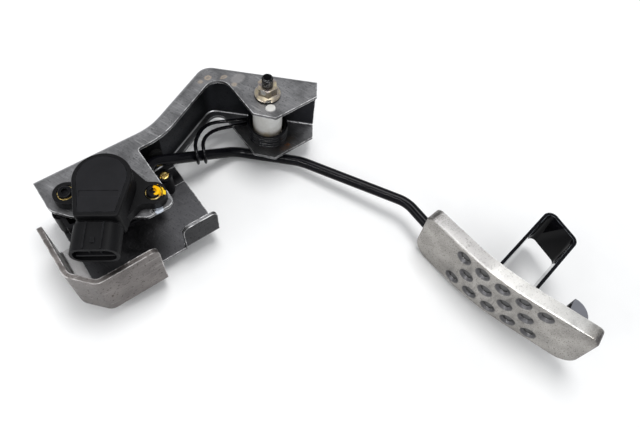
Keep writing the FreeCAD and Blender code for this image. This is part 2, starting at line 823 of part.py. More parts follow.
def buildRod(endX):
    points = [
        pinPlace + Vector(0, 0, size("rodShoulderZ")),
        pinPlace + Vector(0, 0, size("rodPinBendZ")),
        rodRise,
        rodKnee,
        rodShin,
        Vector(endX, size("rodAnkleY"), size("rodLevel")),
        Vector(endX, size("rodEndY"), size("rodLevel")),
    ]
    bends = ("rodPinBendRadius", "rodRiseRadius", "rodKneeRadius", "rodShinRadius", "rodAnkleRadius")
    radii = [0] + [size(name) for name in bends] + [0]
    bar = sweep("rod", points, radii, "Sizes.rodDiameter / 2")
    spigot = doc.addObject("Part::Cylinder", "rodSpigot")
    spigot.setExpression("Radius", "Sizes.rodSpigotDiameter / 2")
    spigot.setExpression("Height", "Sizes.leverTopZ - Sizes.rodPinBendZ")
    spigot.Placement = Placement(points[1], Rotation())
    rod = doc.addObject("Part::Fuse", "pedalRod")
    rod.Base = bar
    rod.Tool = spigot
    asSubPart(rod, "pedal_rod")


def buildRodCap():
    # a moulded cap over the spigot, which runs in the drive lever's fork
    bottom = size("rodShoulderZ") + size("edgeBreak") / 2
    cap = bodyAt("rod_end_cap", pinPlace.x, pinPlace.y, 0)
    outer = size("capDiameter") / 2
    top = size("leverTopZ") + size("runningFit") + size("capTopThickness")
    revolve(cap, [(0, bottom, 0), (outer - size("edgeBreak"), bottom, 0),
                  (outer, bottom + size("edgeBreak"), 0),
                  (outer, top, size("capTopThickness")), (0, top, 0)])
    pocket(cap, circle(0, 0, boreFor("rodSpigotDiameter")),
           "Sizes.leverTopZ + Sizes.runningFit", upward=True)


# Return springs

springMean = size("springMeanDiameter") / 2
springWire = size("springWire")
springBendShare = 0.9999    # keeps a trace of straight between two bends of the coil
webInsideGap = (webInside[2].cross(webInside[3])).Length / webInside[2].distanceToPoint(webInside[3])
webLeafAngle = math.degrees(math.atan2(webEnd.y - webPeak.y, webEnd.x - webPeak.x))
legLean = math.degrees(math.asin((webInsideGap - springMean - springWire / 2 - size("seatGap"))
                                 / size("springLegLength")))


def buildSpring(name, order):
    # hook over the rod, straight arm, coil round the bush and a leg that leans on the web
    reach = rodRadius + springWire / 2 + size("seatGap")
    hookX = size(name + "HookX")
    cross = rodAt(hookX)
    climb = reach * (rodKnee - rodRise).Length / abs(rodKnee.x - rodRise.x)
    turn = size(name + "ArmAngle") - webLeafAngle - legLean - 180 + 360 * size("springWholeTurns")
    corners = round(turn / 360 * size("springCornersPerTurn"))
    step = turn / corners
    rise = size("springPitch") * step / 360
    level = size("springStartZ") + order * (size("springPitch") - rise / 2) / 2
    arm = turned(1, 0, size(name + "ArmAngle"))
    start = turned(0, springMean, size(name + "ArmAngle") - 180)
    elbow = start + arm * size(name + "ArmLength") + Vector(0, 0, level + size("armRise"))
    over = cross + Vector(0, -reach, climb)
    points = [
        over + Vector(0, 0, -climb - size("hookDrop")),
        over,
        over + Vector(size("hookLean"), reach + size("hookBack"), 0),
        elbow,
    ]
    radii = [0, reach, size("hookBackRadius"), size("armRadius")]

    side = math.hypot(2 * springMean * math.tan(math.radians(step / 2)), rise)
    first = size(name + "ArmAngle") - 90
    for i in range(corners):
        corner = turned(springMean / math.cos(math.radians(step / 2)), 0, first - step * (i + 0.5))
        points.append(corner + Vector(0, 0, level + rise * i))
    legAngle = webLeafAngle + legLean
    last = turned(0, springMean, legAngle) + turned(size("springLegLength"), 0, legAngle)
    points.append(last + Vector(0, 0, level + rise * (corners - 1)))
    for before, corner, after in zip(points[3:], points[4:], points[5:]):
        half = (before - corner).getAngle(after - corner) / 2
        radii.append(side / 2 * math.tan(half) * springBendShare)
    radii.append(0)
    asSubPart(sweep(name, points, radii, "Sizes.springWire / 2"), "return_spring_" + name)


# Pedal pad

padPath = [Vector(size("padTopX"), size("padTopY"), 0), Vector(size("padBendX"), size("padBendY"), 0),
           Vector(size("padToeX"), size("padToeY"), 0)]
padRadii = [0, size("padBendRadius"), 0]
padLength = sum(piece.toShape().Length for piece in roundPath(padPath, padRadii))
padMiddle = size("padMiddleZ")
carrierDepth = size("padThickness") - size("carrierThickness") - size("carrierRecess")
carrierBack = size("padThickness") - size("carrierRecess")
padBosses = [
    (size("padBossFromTop"), padMiddle - size("padBossSpread") / 2),
    (size("padBossFromTop"), padMiddle + size("padBossSpread") / 2),
    (size("padLowBossFromTop"), padMiddle),
]


def faceAt(distance, depth=0):
    # a frame on the pad's face after a distance from its top: x up the face, y along Z, z into the pad
    left = distance
    for piece in roundPath(padPath, padRadii):
        edge = piece.toShape()
        if left <= edge.Length:
            break
        left -= edge.Length
    spot = edge.getParameterByLength(left)
    along = edge.tangentAt(spot)
    inward = Vector(-along.y, along.x, 0)
    return Placement(edge.valueAt(spot) + inward * depth, Rotation(-along, Vector(0, 0, 1), inward, "ZYX"))


def faceStrip(start, end, depth, thickness):
    # the outline of a layer that follows the pad's face
    path = offsetPath([faceAt(end).Base, padPath[1], faceAt(start).Base], depth)
    return stripLoop(path, [0, size("padBendRadius") - depth, 0], thickness)


def roundEnds(body, thickness, upper, lower):
    # rounds the corners of a layer of the pad, seen on its face
    low, high = body.Tip.Shape.BoundBox.ZMin, body.Tip.Shape.BoundBox.ZMax
    fillet(body, upper, lambda edge: flatAt(edge, high) and near(edge.Length, thickness))
    fillet(body, lower, lambda edge: flatAt(edge, low) and near(edge.Length, thickness))


def looksAlong(face, way):
    # whether a face of the pad looks backwards (way 1, along +X) or forwards (way -1)
    first, last, low, high = face.ParameterRange
    return face.normalAt((first + last) / 2, (low + high) / 2).x * way > 0.9


def buildPad():
    body = newBody("pedal_pad")
    outline = faceStrip(0, padLength, 0, size("padThickness"))
    pad(body, outline, "Sizes.padWidth", "Sizes.padMiddleZ", centred=True)
    roundEnds(body, size("padThickness"), "Sizes.padUpperCorner", "Sizes.padLowerCorner")
    shell(body, "Sizes.padWall", lambda face: looksAlong(face, 1))
    rim = [edge for face in body.Tip.Shape.Faces if looksAlong(face, -1) for edge in face.Edges]
    fillet(body, "Sizes.padEdgeRadius", lambda edge: sum(edge.isSame(other) for other in rim) == 1)

    notch = size("rodDiameter") / 2 + size("padNotchGap")
    far = rodEndX + size("padThickness")
    slot = [(rodEndX - notch, padMiddle - notch, notch * roundShare), (far, padMiddle - notch, 0),
            (far, padMiddle + notch, 0), (rodEndX - notch, padMiddle + notch, notch * roundShare)]
    pocket(body, roundLoop(slot), "3 * Sizes.padWall", "-Sizes.padTopY", "XZ_Plane", centred=True)

    for distance, z in padBosses:
        root = faceAt(distance, size("padWall") / 2)
        pad(body, circle(0, z, size("padBossDiameter")),
            "Sizes.padThickness - Sizes.carrierThickness - Sizes.carrierRecess - Sizes.padWall / 2", root)
        pad(body, circle(0, z, size("padStudDiameter")),
            "Sizes.padThickness + Sizes.padNutHeight + 1 - Sizes.padWall / 2", root)
    for i in range(round(size("padHoleRows"))):
        distance = size("padHoleFirst") + size("padHolePitch") * i
        pierceFace(body, distance, (padMiddle - size("padRowPitch"), padMiddle + size("padRowPitch")))
        if i:
            pierceFace(body, distance - size("padHolePitch") + size("padMiddleRowShift"), (padMiddle,))
    return body


def pierceFace(body, distance, heights):
    # countersunk grip holes at one distance down the face
    outside = faceAt(distance, -1)
    holes = [hole for z in heights for hole in circle(0, z, size("padHoleDiameter"))]
    pocket(body, holes, "Sizes.padWall + 2", outside, upward=True)
    sinks = [sink for z in heights for sink in circle(0, z, size("padSinkDiameter"))]
    sunk = pocket(body, sinks, "(Sizes.padSinkDiameter - Sizes.padHoleDiameter) / 2", faceAt(distance),
                  upward=True)
    sunk.TaperAngle = -45


def buildPadInside():
    liner = newBody("pad_liner")
    gap = size("runningFit")
    pad(liner, faceStrip(size("linerStart"), size("linerEnd"), size("padWall") + gap, size("linerThickness")),
        "Sizes.padWidth - 2 * Sizes.padWall - 2 * Sizes.carrierInset", "Sizes.padMiddleZ", centred=True)
    pocket(liner, circle(0, padMiddle, size("padBossDiameter") + 2 * size("padNotchGap")),
           "2 * Sizes.padThickness", faceAt(size("padLowBossFromTop")), centred=True)

    carrier = newBody("pad_carrier")
    pad(carrier, faceStrip(size("carrierStart"), size("carrierEnd"), carrierDepth, size("carrierThickness")),
        "Sizes.padWidth - 2 * Sizes.padWall - 2 * Sizes.carrierInset", "Sizes.padMiddleZ", centred=True)
    inset = " - Sizes.padWall - Sizes.carrierInset"
    roundEnds(carrier, size("carrierThickness"), "Sizes.padUpperCorner" + inset,
              "Sizes.padLowerCorner" + inset)
    low, high = padMiddle - rodRadius - gap, padMiddle + rodRadius + gap
    slit = [(size("rodEndY") - gap, low, 0), (size("padTopY") + 1, low, 0), (size("padTopY") + 1, high, 0),
            (size("rodEndY") - gap, high, 0)]
    pocket(carrier, roundLoop(slit), "2 * Sizes.padThickness", f"{rodEndX}", "YZ_Plane", centred=True)
    for distance, z in padBosses:
        pocket(carrier, circle(0, z, size("padStudDiameter") + 2 * gap), "2 * Sizes.padThickness",
               faceAt(distance), centred=True)

    for number, (distance, z) in enumerate(padBosses, 1):
        seat = faceAt(distance, carrierBack)
        nut = newBody(f"pad_nut_{number}", seat * Placement(Vector(0, z, 0), Rotation()))
        pad(nut, hexagon(size("padNutAcrossFlats")), "Sizes.padNutHeight")
        pocket(nut, circle(0, 0, size("padStudDiameter") + 2 * gap), "Sizes.padNutHeight + 1",
               "-Sizes.edgeBreak", upward=True)
        chamferHexagon(nut, size("padNutAcrossFlats") / 2, size("padNutHeight"))


def buildStrap():
    # a bent flat strap welded to the carrier, which meets the floor stop at full throttle
    strap = newBody("stop_strap")
    foot = faceAt(size("strapFromTop"), carrierBack - size("strapThickness")).Base
    reach = turned(size("strapReach") + size("strapThickness"), 0, size("strapAngle"))
    span = turned(0, -size("strapSpan"), size("strapAngle"))
    lap = turned(size("padThickness"), 0, size("strapAngle"))
    lean = turned(size("strapEndLean"), 0, size("strapAngle"))
    path = [foot - lap, foot + reach, foot + span + reach - lean, foot + span - lap]
    outside = size("strapCorner")
    pad(strap, stripLoop(path, [0, outside, outside, 0], size("strapThickness")),
        "Sizes.strapWidth", "Sizes.padMiddleZ", centred=True)
    pocket(strap, faceStrip(0, padLength, -2 * size("padThickness"), 2 * size("padThickness") + carrierBack
                            + size("runningFit")), "2 * Sizes.padWidth", "Sizes.padMiddleZ", centred=True)


def buildBumper():
    # frame with x up the pad's back and y away from it
    flat = faceAt(size("bumperFromTop"), carrierBack)
    place = flat * Placement(Vector(), Rotation(Vector(1, 0, 0), 90))
    half = size("bumperHeight") / 2
    length, depth = size("bumperLength"), size("bumperDepth")
    bumper = newBody("stop_bumper", place)
    pad(bumper, roundLoop([(0, 0, 0), (0, depth, size("edgeBreak")), (-length, depth, size("bumperCurve")),
                           (-length, 0, 0)]), "Sizes.bumperHeight", f"{-padMiddle - half}")
    bracket = newBody("bumper_bracket", place)
    plate, foot = size("bumperPlate"), size("bumperPlateFoot")
    pad(bracket, roundLoop([(0, 0, 0), (0, size("bumperPlateReach"), 0), (plate, size("bumperPlateReach"), 0),
                            (plate, plate, 0), (foot, plate, 0), (foot, 0, 0)]),
        "Sizes.bumperHeight", f"{-padMiddle - half}")


# Sensor

def tangentCorner(point, centre, radius, side, y):
    # where the tangent from a point to a circle crosses the level y
    away = centre - point
    angle = math.atan2(away.y, away.x) + side * math.asin(radius / away.Length)
    return Vector(point.x + (y - point.y) / math.tan(angle), y, 0)


def bodyOutline(inset):
    # the housing's plan: a round back and sides that narrow to a straight front
    centre = Vector(size("sensorBodyX"), size("sensorBodyY"), 0)
    radius = size("sensorBodyRadius")
    back = centre.y + radius
    front = [Vector(centre.x + side * size("sensorFrontWidth") / 2, size("sensorFrontY"), 0)
             for side in (-1, 1)]
    left, right = (tangentCorner(corner, centre, radius, side, back) for corner, side in zip(front, (1, -1)))
    loop = [front[0], left, right, front[1]]
    runs = [beside(a, b, inset) for a, b in zip(loop, loop[1:] + loop[:1])]
    corners = [meet(*runs[i - 1], *runs[i]) for i in range(4)]
    small = max(size("sensorFrontCorner") - inset, size("edgeBreak"))
    return roundLoop([(p.x, p.y, r) for p, r in zip(corners, (small, radius - inset, radius - inset, small))])


def buildSensorBody():
    body = newBody("sensor_body", sensorPlace)
    half = size("sensorPitch") / 2
    ear = size("sensorEarRadius")
    pad(body, bodyOutline(0), "Sizes.sensorBodyHeight")
    top = size("sensorBodyHeight")
    fillet(body, "3 * Sizes.edgeBreak", lambda edge: flatAt(edge, top))
    pad(body, earOutline(half + ear, ear), "Sizes.sensorEarThickness")
    pad(body, circle(0, 0, size("pilotDiameter")), "Sizes.pilotHeight + 1", "-Sizes.pilotHeight")
    addConnector(body)

    pocket(body, bodyOutline(size("coverInset")), "Sizes.coverThickness", "Sizes.sensorBodyHeight")
    pocket(body, bodyOutline(size("cavityInset")),
           "Sizes.sensorBodyHeight - Sizes.boardZ", "Sizes.sensorBodyHeight")
    pocket(body, bodyOutline(size("cavityInset") + size("boardLedge")),
           "Sizes.sensorBodyHeight - Sizes.sensorFloor", "Sizes.sensorBodyHeight")
    pocket(body, circle(0, 0, boreFor("rotorDiameter")), "Sizes.sensorBodyHeight",
           "Sizes.sensorFloor + 1")
    seal = size("sealDiameter") / 2
    revolve(body, [(seal - size("sealWidth") - size("runningFit"), -1, 0), (seal + size("runningFit"), -1, 0),
                   (seal + size("runningFit"), size("sealHeight"), 0),
                   (seal - size("sealWidth") - size("runningFit"), size("sealHeight"), 0)], "Groove")
    for side in (-half, half):
        pocket(body, circle(side, 0, size("sensorWasherDiameter") + 1), "Sizes.sensorEarSink",
               "Sizes.sensorEarThickness")
        pocket(body, circle(side, 0, boreFor("sleeveDiameter")),
               "Sizes.sensorEarThickness + 1", "Sizes.sensorEarThickness")


def earOutline(far, ear):
    # both screw ears, with the shoulder and the haunch that carry the right one
    middle, end = size("sensorBodyX"), ear * roundShare
    return roundLoop([
        (-far, -ear, end),
        (-far, ear, end),
        (middle, ear, 0),
        (middle, size("sensorShoulderY"), 0),
        (size("sensorShoulderX"), size("sensorShoulderY"), size("sensorShoulderRadius")),
        (size("sensorShoulderFootX"), ear, size("sensorShoulderFootRadius")),
        (far, ear, end),
        (far, -ear, end),
        (size("sensorHaunchFootX"), -ear, size("sensorHaunchFootRadius")),
        (size("sensorHaunchX"), size("sensorHaunchY"), 0),
        (middle, size("sensorHaunchY"), 0),
        (middle, -ear, 0),
    ])


def addConnector(body):
    # the plug socket at the front, with its cavity and the slots that carry the terminals
    middle = size("connectorX")
    half = size("connectorWidth") / 2
    low = size("connectorBottomZ")
    high = low + size("connectorHeight")
    corner = size("connectorCorner")

    def section(inset):
        return roundLoop([(middle - half + inset, low + inset, corner - inset),
                          (middle + half - inset, low + inset, corner - inset),
                          (middle + half - inset, high - inset, corner - inset),
                          (middle - half + inset, high - inset, corner - inset)])

    pad(body, section(size("connectorNeckDepth")), "Sizes.connectorNeckLength + Sizes.coverInset + 1",
        "-Sizes.sensorFrontY - Sizes.coverInset", "XZ_Plane")
    pad(body, section(0), "Sizes.sensorFrontY - Sizes.connectorNeckLength - Sizes.connectorMouthY",
        "-Sizes.sensorFrontY + Sizes.connectorNeckLength", "XZ_Plane")
    nub, nubY = size("connectorNubWidth") / 2, size("connectorNubY")
    front, back = nubY - size("connectorNubLength") / 2, nubY + size("connectorNubLength") / 2
    pad(body, roundLoop([(middle - nub, front, 0), (middle + nub, front, 0), (middle + nub, back, 0),
                         (middle - nub, back, 0)]), "Sizes.connectorRib + 1",
        "Sizes.connectorBottomZ + Sizes.connectorHeight - 1")
    for side in (-0.5, 0.5):
        x = middle + side * size("connectorRibSpan")
        rib = size("connectorRib")
        pad(body, roundLoop([(x - rib / 2, high - 1, 0), (x + rib / 2, high - 1, 0),
                             (x + rib / 2, high + rib, 0), (x - rib / 2, high + rib, 0)]),
            "Sizes.sensorFrontY - Sizes.connectorNeckLength - Sizes.connectorMouthY - 1",
            "-Sizes.sensorFrontY + Sizes.connectorNeckLength", "XZ_Plane")
    pocket(body, section(size("connectorWall")), "Sizes.connectorDepth", "-Sizes.connectorMouthY", "XZ_Plane")
    for x, z in terminalPlaces():
        wide = size("terminalWidth") / 2 + size("runningFit")
        thick = size("terminalThickness") / 2 + size("runningFit")
        pocket(body, roundLoop([(x - wide, z - thick, 0), (x + wide, z - thick, 0), (x + wide, z + thick, 0),
                                (x - wide, z + thick, 0)]),
               "Sizes.sensorFrontY - Sizes.connectorMouthY + 3 * Sizes.coverInset", "-Sizes.connectorMouthY",
               "XZ_Plane")


def terminalPlaces():
    # two rows of three, as (x, z) in the sensor's own frame
    middle = size("connectorBottomZ") + size("connectorHeight") / 2
    return [(size("connectorX") + column * size("terminalPitch"), middle + row * size("terminalRowPitch"))
            for row in (-0.5, 0.5) for column in (-1, 0, 1)]


def buildSensorInside():
    cover = newBody("sensor_cover", sensorPlace)
    pad(cover, bodyOutline(size("coverInset") + size("coverGroove")), "Sizes.coverThickness",
        "Sizes.sensorBodyHeight - Sizes.coverThickness")
    x, y = size("coverPanelX"), size("coverPanelY")
    wide, high = size("coverPanelWidth") / 2, size("coverPanelHeight") / 2
    corner = size("coverPanelCorner")
    panel = [(x - wide, y - high, corner), (x + wide, y - high, corner), (x + wide, y + high, corner),
             (x - wide, y + high, corner)]
    pocket(cover, roundLoop(panel), "Sizes.coverPanelDepth", "Sizes.sensorBodyHeight")

    board = newBody("sensor_board", sensorPlace)
    pad(board, bodyOutline(size("cavityInset") + size("coverGroove")), "Sizes.boardThickness", "Sizes.boardZ")

    rotor = newBody("sensor_rotor", sensorPlace)
    shoulder = size("leverTopZ") + size("runningFit") - bracketHeight
    foot = size("leverTopZ") - size("leverThickness") - size("edgeBreak") - bracketHeight
    stub, barrel = size("rotorStubDiameter") / 2, size("rotorDiameter") / 2
    discZ = size("sensorFloor") + size("seatGap")
    disc = size("rotorDiscDiameter") / 2
    revolve(rotor, [(0, foot, 0), (stub - size("edgeBreak"), foot, 0), (stub, foot + size("edgeBreak"), 0),
                    (stub, shoulder, 0), (barrel, shoulder, 0), (barrel, discZ, 0), (disc, discZ, 0),
                    (disc, discZ + size("rotorDiscThickness"), 0),
                    (0, discZ + size("rotorDiscThickness"), 0)])
    flat = stub - size("rotorFlatDepth")
    pocket(rotor, roundLoop([(flat, -stub - 1, 0), (stub + 1, -stub - 1, 0), (stub + 1, stub + 1, 0),
                             (flat, stub + 1, 0)]), "2 * Sizes.leverThickness", f"{shoulder}")

    seal = newBody("sensor_seal", sensorPlace)
    outer = size("sealDiameter") / 2
    ring(seal, outer - size("sealWidth"), outer, size("runningFit"), size("sealHeight") - size("runningFit"))

    length = size("sensorFrontY") - size("connectorMouthY") - size("connectorDepth") + size("terminalReach")
    for number, (x, z) in enumerate(terminalPlaces(), 1):
        terminal = newBody(f"sensor_terminal_{number}", sensorPlace)
        wide, thick = size("terminalWidth") / 2, size("terminalThickness") / 2
        pad(terminal, roundLoop([(x - wide, z - thick, 0), (x + wide, z - thick, 0), (x + wide, z + thick, 0),
                                 (x - wide, z + thick, 0)]),
            f"{length} + 2 * Sizes.coverInset", "-Sizes.sensorFrontY - 2 * Sizes.coverInset", "XZ_Plane")


def buildSensorFasteners():
    fit = size("runningFit")
    bore = size("sensorScrewDiameter") / 2 + fit
    washerZ = size("sensorEarThickness") - size("sensorEarSink")
    nutZ = -sheetThickness - size("weldNutHeight")
    headZ = washerZ + size("sensorWasherThickness")
    for name, side in (("left", -1), ("right", 1)):
        place = sensorPlace * Placement(Vector(side * size("sensorPitch") / 2, 0, 0), Rotation())
        ring(newBody("sensor_sleeve_" + name, place), bore, size("sleeveDiameter") / 2, 0, washerZ)
        ring(newBody("sensor_washer_" + name, place), bore, size("sensorWasherDiameter") / 2, washerZ, headZ,
             size("edgeBreak") / 2)
        ring(newBody("sensor_nut_" + name, place), bore, size("weldNutDiameter") / 2, nutZ, -sheetThickness,
             size("edgeBreak"))
        screw = newBody("sensor_screw_" + name, place)
        shank, head = size("sensorScrewDiameter") / 2, size("sensorScrewHead") / 2
        top = headZ + size("sensorScrewHeadHeight")
        revolve(screw, [(0, nutZ - fit, 0), (shank - size("edgeBreak"), nutZ - fit, 0),
                        (shank, nutZ + size("edgeBreak"), 0), (shank, headZ, 0), (head, headZ, 0),
                        (head, top, size("sensorScrewHeadRound")), (0, top, 0)])
        pocket(screw, hexagon(size("sensorScrewSocket")), "Sizes.sensorScrewSocketDepth", f"{top}")


# Drive lever

def buildLever():
    # a forked arm on the rotor; its slot takes the cap on the rod's end
    middleAngle = math.degrees(math.atan2(-size("sensorY"), -size("sensorX")))
    restAngle = middleAngle + size("leverRatio") * size("pedalTravel") / 2
    lever = bodyAt("drive_lever", size("sensorX"), size("sensorY"),
                   size("leverTopZ") - size("leverThickness"), restAngle)
    slot = size("capDiameter") / 2 + size("slotPlay")
    arm = slot + size("leverArm")
    root, tip = size("leverRoot"), size("leverTipRadius")
    pad(lever, circle(0, 0, size("leverHubDiameter")), "Sizes.leverThickness")
    pad(lever, roundLoop([(0, -root, 0), (tip, -arm, size("leverArm") / 2), (tip, arm, size("leverArm") / 2),
                          (0, root, 0)]), "Sizes.leverThickness")
    pocket(lever, roundLoop([(size("leverSlotStart"), -slot, slot * roundShare), (tip + 1, -slot, 0),
                             (tip + 1, slot, 0), (size("leverSlotStart"), slot, slot * roundShare)]),
           "Sizes.leverThickness + 1", "Sizes.leverThickness")
    stub = size("rotorStubDiameter") / 2 + size("runningFit")
    flat = turned(1, 0, size("sensorAngle") - restAngle)
    chord = stub - size("rotorFlatDepth")
    half = math.sqrt(stub ** 2 - chord ** 2)
    side = Vector(-flat.y, flat.x, 0)
    bore = [Part.LineSegment(flat * chord - side * half, flat * chord + side * half),
            Part.Arc(flat * chord + side * half, flat * -stub, flat * chord - side * half)]
    pocket(lever, bore, "Sizes.leverThickness + 1", "Sizes.leverThickness")


# Lever housing

def buildHousing():
    # a moulded tray under the top flange, open to the right where the rod comes in
    body = newBody("lever_housing")
    left, right = size("housingLeftX"), size("housingRightX")
    back, front = size("housingBackY"), size("housingFrontY")
    wall = size("housingWall")
    wallEnd = size("stopX") + size("stopDiameter") / 2 + 1
    corner = size("housingCorner")
    walls = [
        (wallEnd, back, 0),
        (left, back, corner),
        (left, front, corner),
        (left + size("housingFrontLength"), front, 0),
        (left + size("housingFrontLength"), front + wall, 0),
        (left + wall, front + wall, corner / 2),
        (left + wall, back - wall, corner / 2),
        (wallEnd, back - wall, 0),
    ]
    pad(body, roundLoop(walls), "Sizes.bracketHeight - Sizes.sheetThickness - Sizes.housingTopGap"
        " - Sizes.housingFloorZ", "Sizes.housingFloorZ")
    floor = [(right, back, 0), (left, back, corner), (left, front, corner), (right, front, corner)]
    pad(body, roundLoop(floor), "Sizes.housingFloor", "Sizes.housingFloorZ")
    ears = [(size(f"housing{ear}EarX"), size(f"housing{ear}EarY")) for ear in ("Left", "Right")]
    for x, y in ears:
        pad(body, circle(x, y, size("housingEarDiameter")),
            "Sizes.housingFloorZ + Sizes.housingFloor + Sizes.housingScrewHeadHeight - Sizes.sheetThickness",
            "Sizes.sheetThickness")
    arm = size("housingEarDiameter") / 2
    for (x, y), inner in zip(ears, (left + 2 * wall, right - 2 * wall)):
        pad(body, roundLoop([(x, y - arm, 0), (inner, y - arm, 0), (inner, y + arm, 0), (x, y + arm, 0)]),
            "Sizes.housingFloor", "Sizes.housingFloorZ")
    for x, y in ears:
        pocket(body, circle(x, y, boreFor("housingScrewDiameter")), "Sizes.bracketHeight",
               "Sizes.bracketHeight")
        pocket(body, circle(x, y, boreFor("housingScrewHead")), "Sizes.bracketHeight",
               "Sizes.bracketHeight + Sizes.housingFloorZ + Sizes.housingFloor")


def buildHousingScrews():
    level = size("housingFloorZ") + size("housingFloor")
    for name in ("left", "right"):
        ear = "housing" + name.capitalize() + "Ear"
        screw = bodyAt("housing_screw_" + name, size(ear + "X"), size(ear + "Y"), 0)
        shank, head = size("housingScrewDiameter") / 2, size("housingScrewHead") / 2
        top = level + size("housingScrewHeadHeight")
        revolve(screw, [(0, 0, 0), (shank - size("edgeBreak"), 0, 0), (shank, size("edgeBreak"), 0),
                        (shank, level, 0), (head, level, 0), (head, top, size("housingScrewHeadHeight") / 2),
                        (0, top, 0)])
        slot, wide = size("housingScrewSlot") / 2, head + 1
        pocket(screw, roundLoop([(-wide, -slot, 0), (wide, -slot, 0), (wide, slot, 0), (-wide, slot, 0)]),
               "Sizes.housingScrewHeadHeight / 2", f"{top}")


def buildRestStop():
    # a rubber buffer on the housing's back wall, which the rod meets when the pedal is up
    face = rodRise.y + rodRadius + size("seatGap")
    stop = newBody("rest_stop")
    pad(stop, circle(size("stopX"), rodAt(size("stopX")).z, size("stopDiameter")),
        f"Sizes.housingBackY - Sizes.housingWall - {face}",
        f"{-size('housingBackY')} + Sizes.housingWall", "XZ_Plane")


rodEndX = faceAt(padPath[0].y - size("rodEndY"), size("padWall") + size("seatGap") + rodRadius).Base.x

buildBracket()
buildCornerPlate()
buildShaft()
buildBush()
buildPivotFasteners()
buildRod(rodEndX)
buildRodCap()
buildSpring("lower", 0)
buildSpring("upper", 1)
buildPad()
buildPadInside()
buildStrap()
buildBumper()
buildSensorBody()
buildSensorInside()
buildSensorFasteners()
buildLever()
buildHousing()
buildHousingScrews()
buildRestStop()
doc.recompute()

for item in doc.Objects:
    if "Invalid" in item.State or "Error" in item.State:
        raise ValueError(f"{item.Name} of {item.Label} did not build")
for item in subParts:
    if item.Shape.isNull() or not item.Shape.isValid():
        raise ValueError(f"{item.Label} is not a valid shape")

os.makedirs("parts", exist_ok=True)
for item in subParts:
    item.Shape.exportStep(f"parts/{item.Label}.step")
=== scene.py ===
import json
import math
import bpy
from mathutils import Matrix, Vector


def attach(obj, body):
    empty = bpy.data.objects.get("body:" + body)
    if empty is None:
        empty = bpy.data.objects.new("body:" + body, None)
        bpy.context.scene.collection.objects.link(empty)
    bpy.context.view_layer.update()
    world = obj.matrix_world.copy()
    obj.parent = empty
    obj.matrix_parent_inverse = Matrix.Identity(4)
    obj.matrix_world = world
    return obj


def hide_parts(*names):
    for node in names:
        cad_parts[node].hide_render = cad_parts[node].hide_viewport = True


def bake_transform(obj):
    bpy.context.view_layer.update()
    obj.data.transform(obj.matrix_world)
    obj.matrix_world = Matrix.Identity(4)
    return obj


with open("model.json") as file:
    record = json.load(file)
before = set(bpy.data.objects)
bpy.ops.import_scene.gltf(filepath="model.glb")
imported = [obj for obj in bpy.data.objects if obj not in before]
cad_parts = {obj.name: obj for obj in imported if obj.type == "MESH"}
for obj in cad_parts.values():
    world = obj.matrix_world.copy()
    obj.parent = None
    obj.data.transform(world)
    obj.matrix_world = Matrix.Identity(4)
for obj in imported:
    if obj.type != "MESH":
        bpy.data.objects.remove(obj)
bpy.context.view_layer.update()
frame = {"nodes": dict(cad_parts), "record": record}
nodes = frame["nodes"]
bpy.ops.object.select_all(action="DESELECT")
print("frame loaded with", len(nodes), "nodes")

millimetre = 0.001
pivotPlace = Vector((0.126, -0.021, -0.0095))  # the pivot axis at the underside of the bracket


def inMetres(values):
    return [value * millimetre for value in values]


# Shader helpers

def put(tree, kind, inputs=None, **settings):
    # one node, its settings, and its inputs as plain values or as sockets to link
    node = tree.nodes.new(kind)
    for name, value in settings.items():
        setattr(node, name, value)
    for name, value in (inputs or {}).items():
        if isinstance(value, bpy.types.NodeSocket):
            tree.links.new(value, node.inputs[name])
        else:
            node.inputs[name].default_value = value
    return node


def asColor(value):
    # red, green and blue become an opaque colour, and a socket stays as it is
    return value if isinstance(value, bpy.types.NodeSocket) else (*value, 1.0)


def blendColor(tree, amount, first, second, mode="MIX"):
    inputs = {0: amount, 6: asColor(first), 7: asColor(second)}
    return put(tree, "ShaderNodeMix", inputs, data_type="RGBA", blend_type=mode).outputs[2]


def calc(tree, operation, first, second, clamp=False):
    return put(tree, "ShaderNodeMath", {0: first, 1: second}, operation=operation, use_clamp=clamp).outputs[0]


def times(tree, first, second):
    return calc(tree, "MULTIPLY", first, second)


def vectorCalc(tree, operation, *vectors):
    # a vector, or the number that a length or a dot product gives
    result = "Value" if operation in ("LENGTH", "DOT_PRODUCT") else "Vector"
    return put(tree, "ShaderNodeVectorMath", dict(enumerate(vectors)), operation=operation).outputs[result]


def ramp(tree, value, low, high, start=0.0, end=1.0):
    inputs = {"Value": value, "From Min": low, "From Max": high, "To Min": start, "To Max": end}
    return put(tree, "ShaderNodeMapRange", inputs, clamp=True).outputs[0]


def noise(tree, vector, scale, detail=3.0, rough=0.6):
    inputs = {"Vector": vector, "Scale": scale, "Detail": detail, "Roughness": rough}
    return put(tree, "ShaderNodeTexNoise", inputs).outputs["Fac"]


def newGroup(name, inputs, outputs):
    # a shared effect: its tree, its incoming sockets and the node that takes its results
    tree = bpy.data.node_groups.new(name, "ShaderNodeTree")
    for label, value in inputs.items():
        kind = "NodeSocketFloat" if isinstance(value, float) else "NodeSocketVector"
        socket = tree.interface.new_socket(name=label, in_out="INPUT", socket_type=kind)
        if value is not None:
            socket.default_value = value
    for label in outputs:
        tree.interface.new_socket(name=label, in_out="OUTPUT", socket_type="NodeSocketFloat")
    return tree, tree.nodes.new("NodeGroupInput").outputs, tree.nodes.new("NodeGroupOutput").inputs


# Shared effects

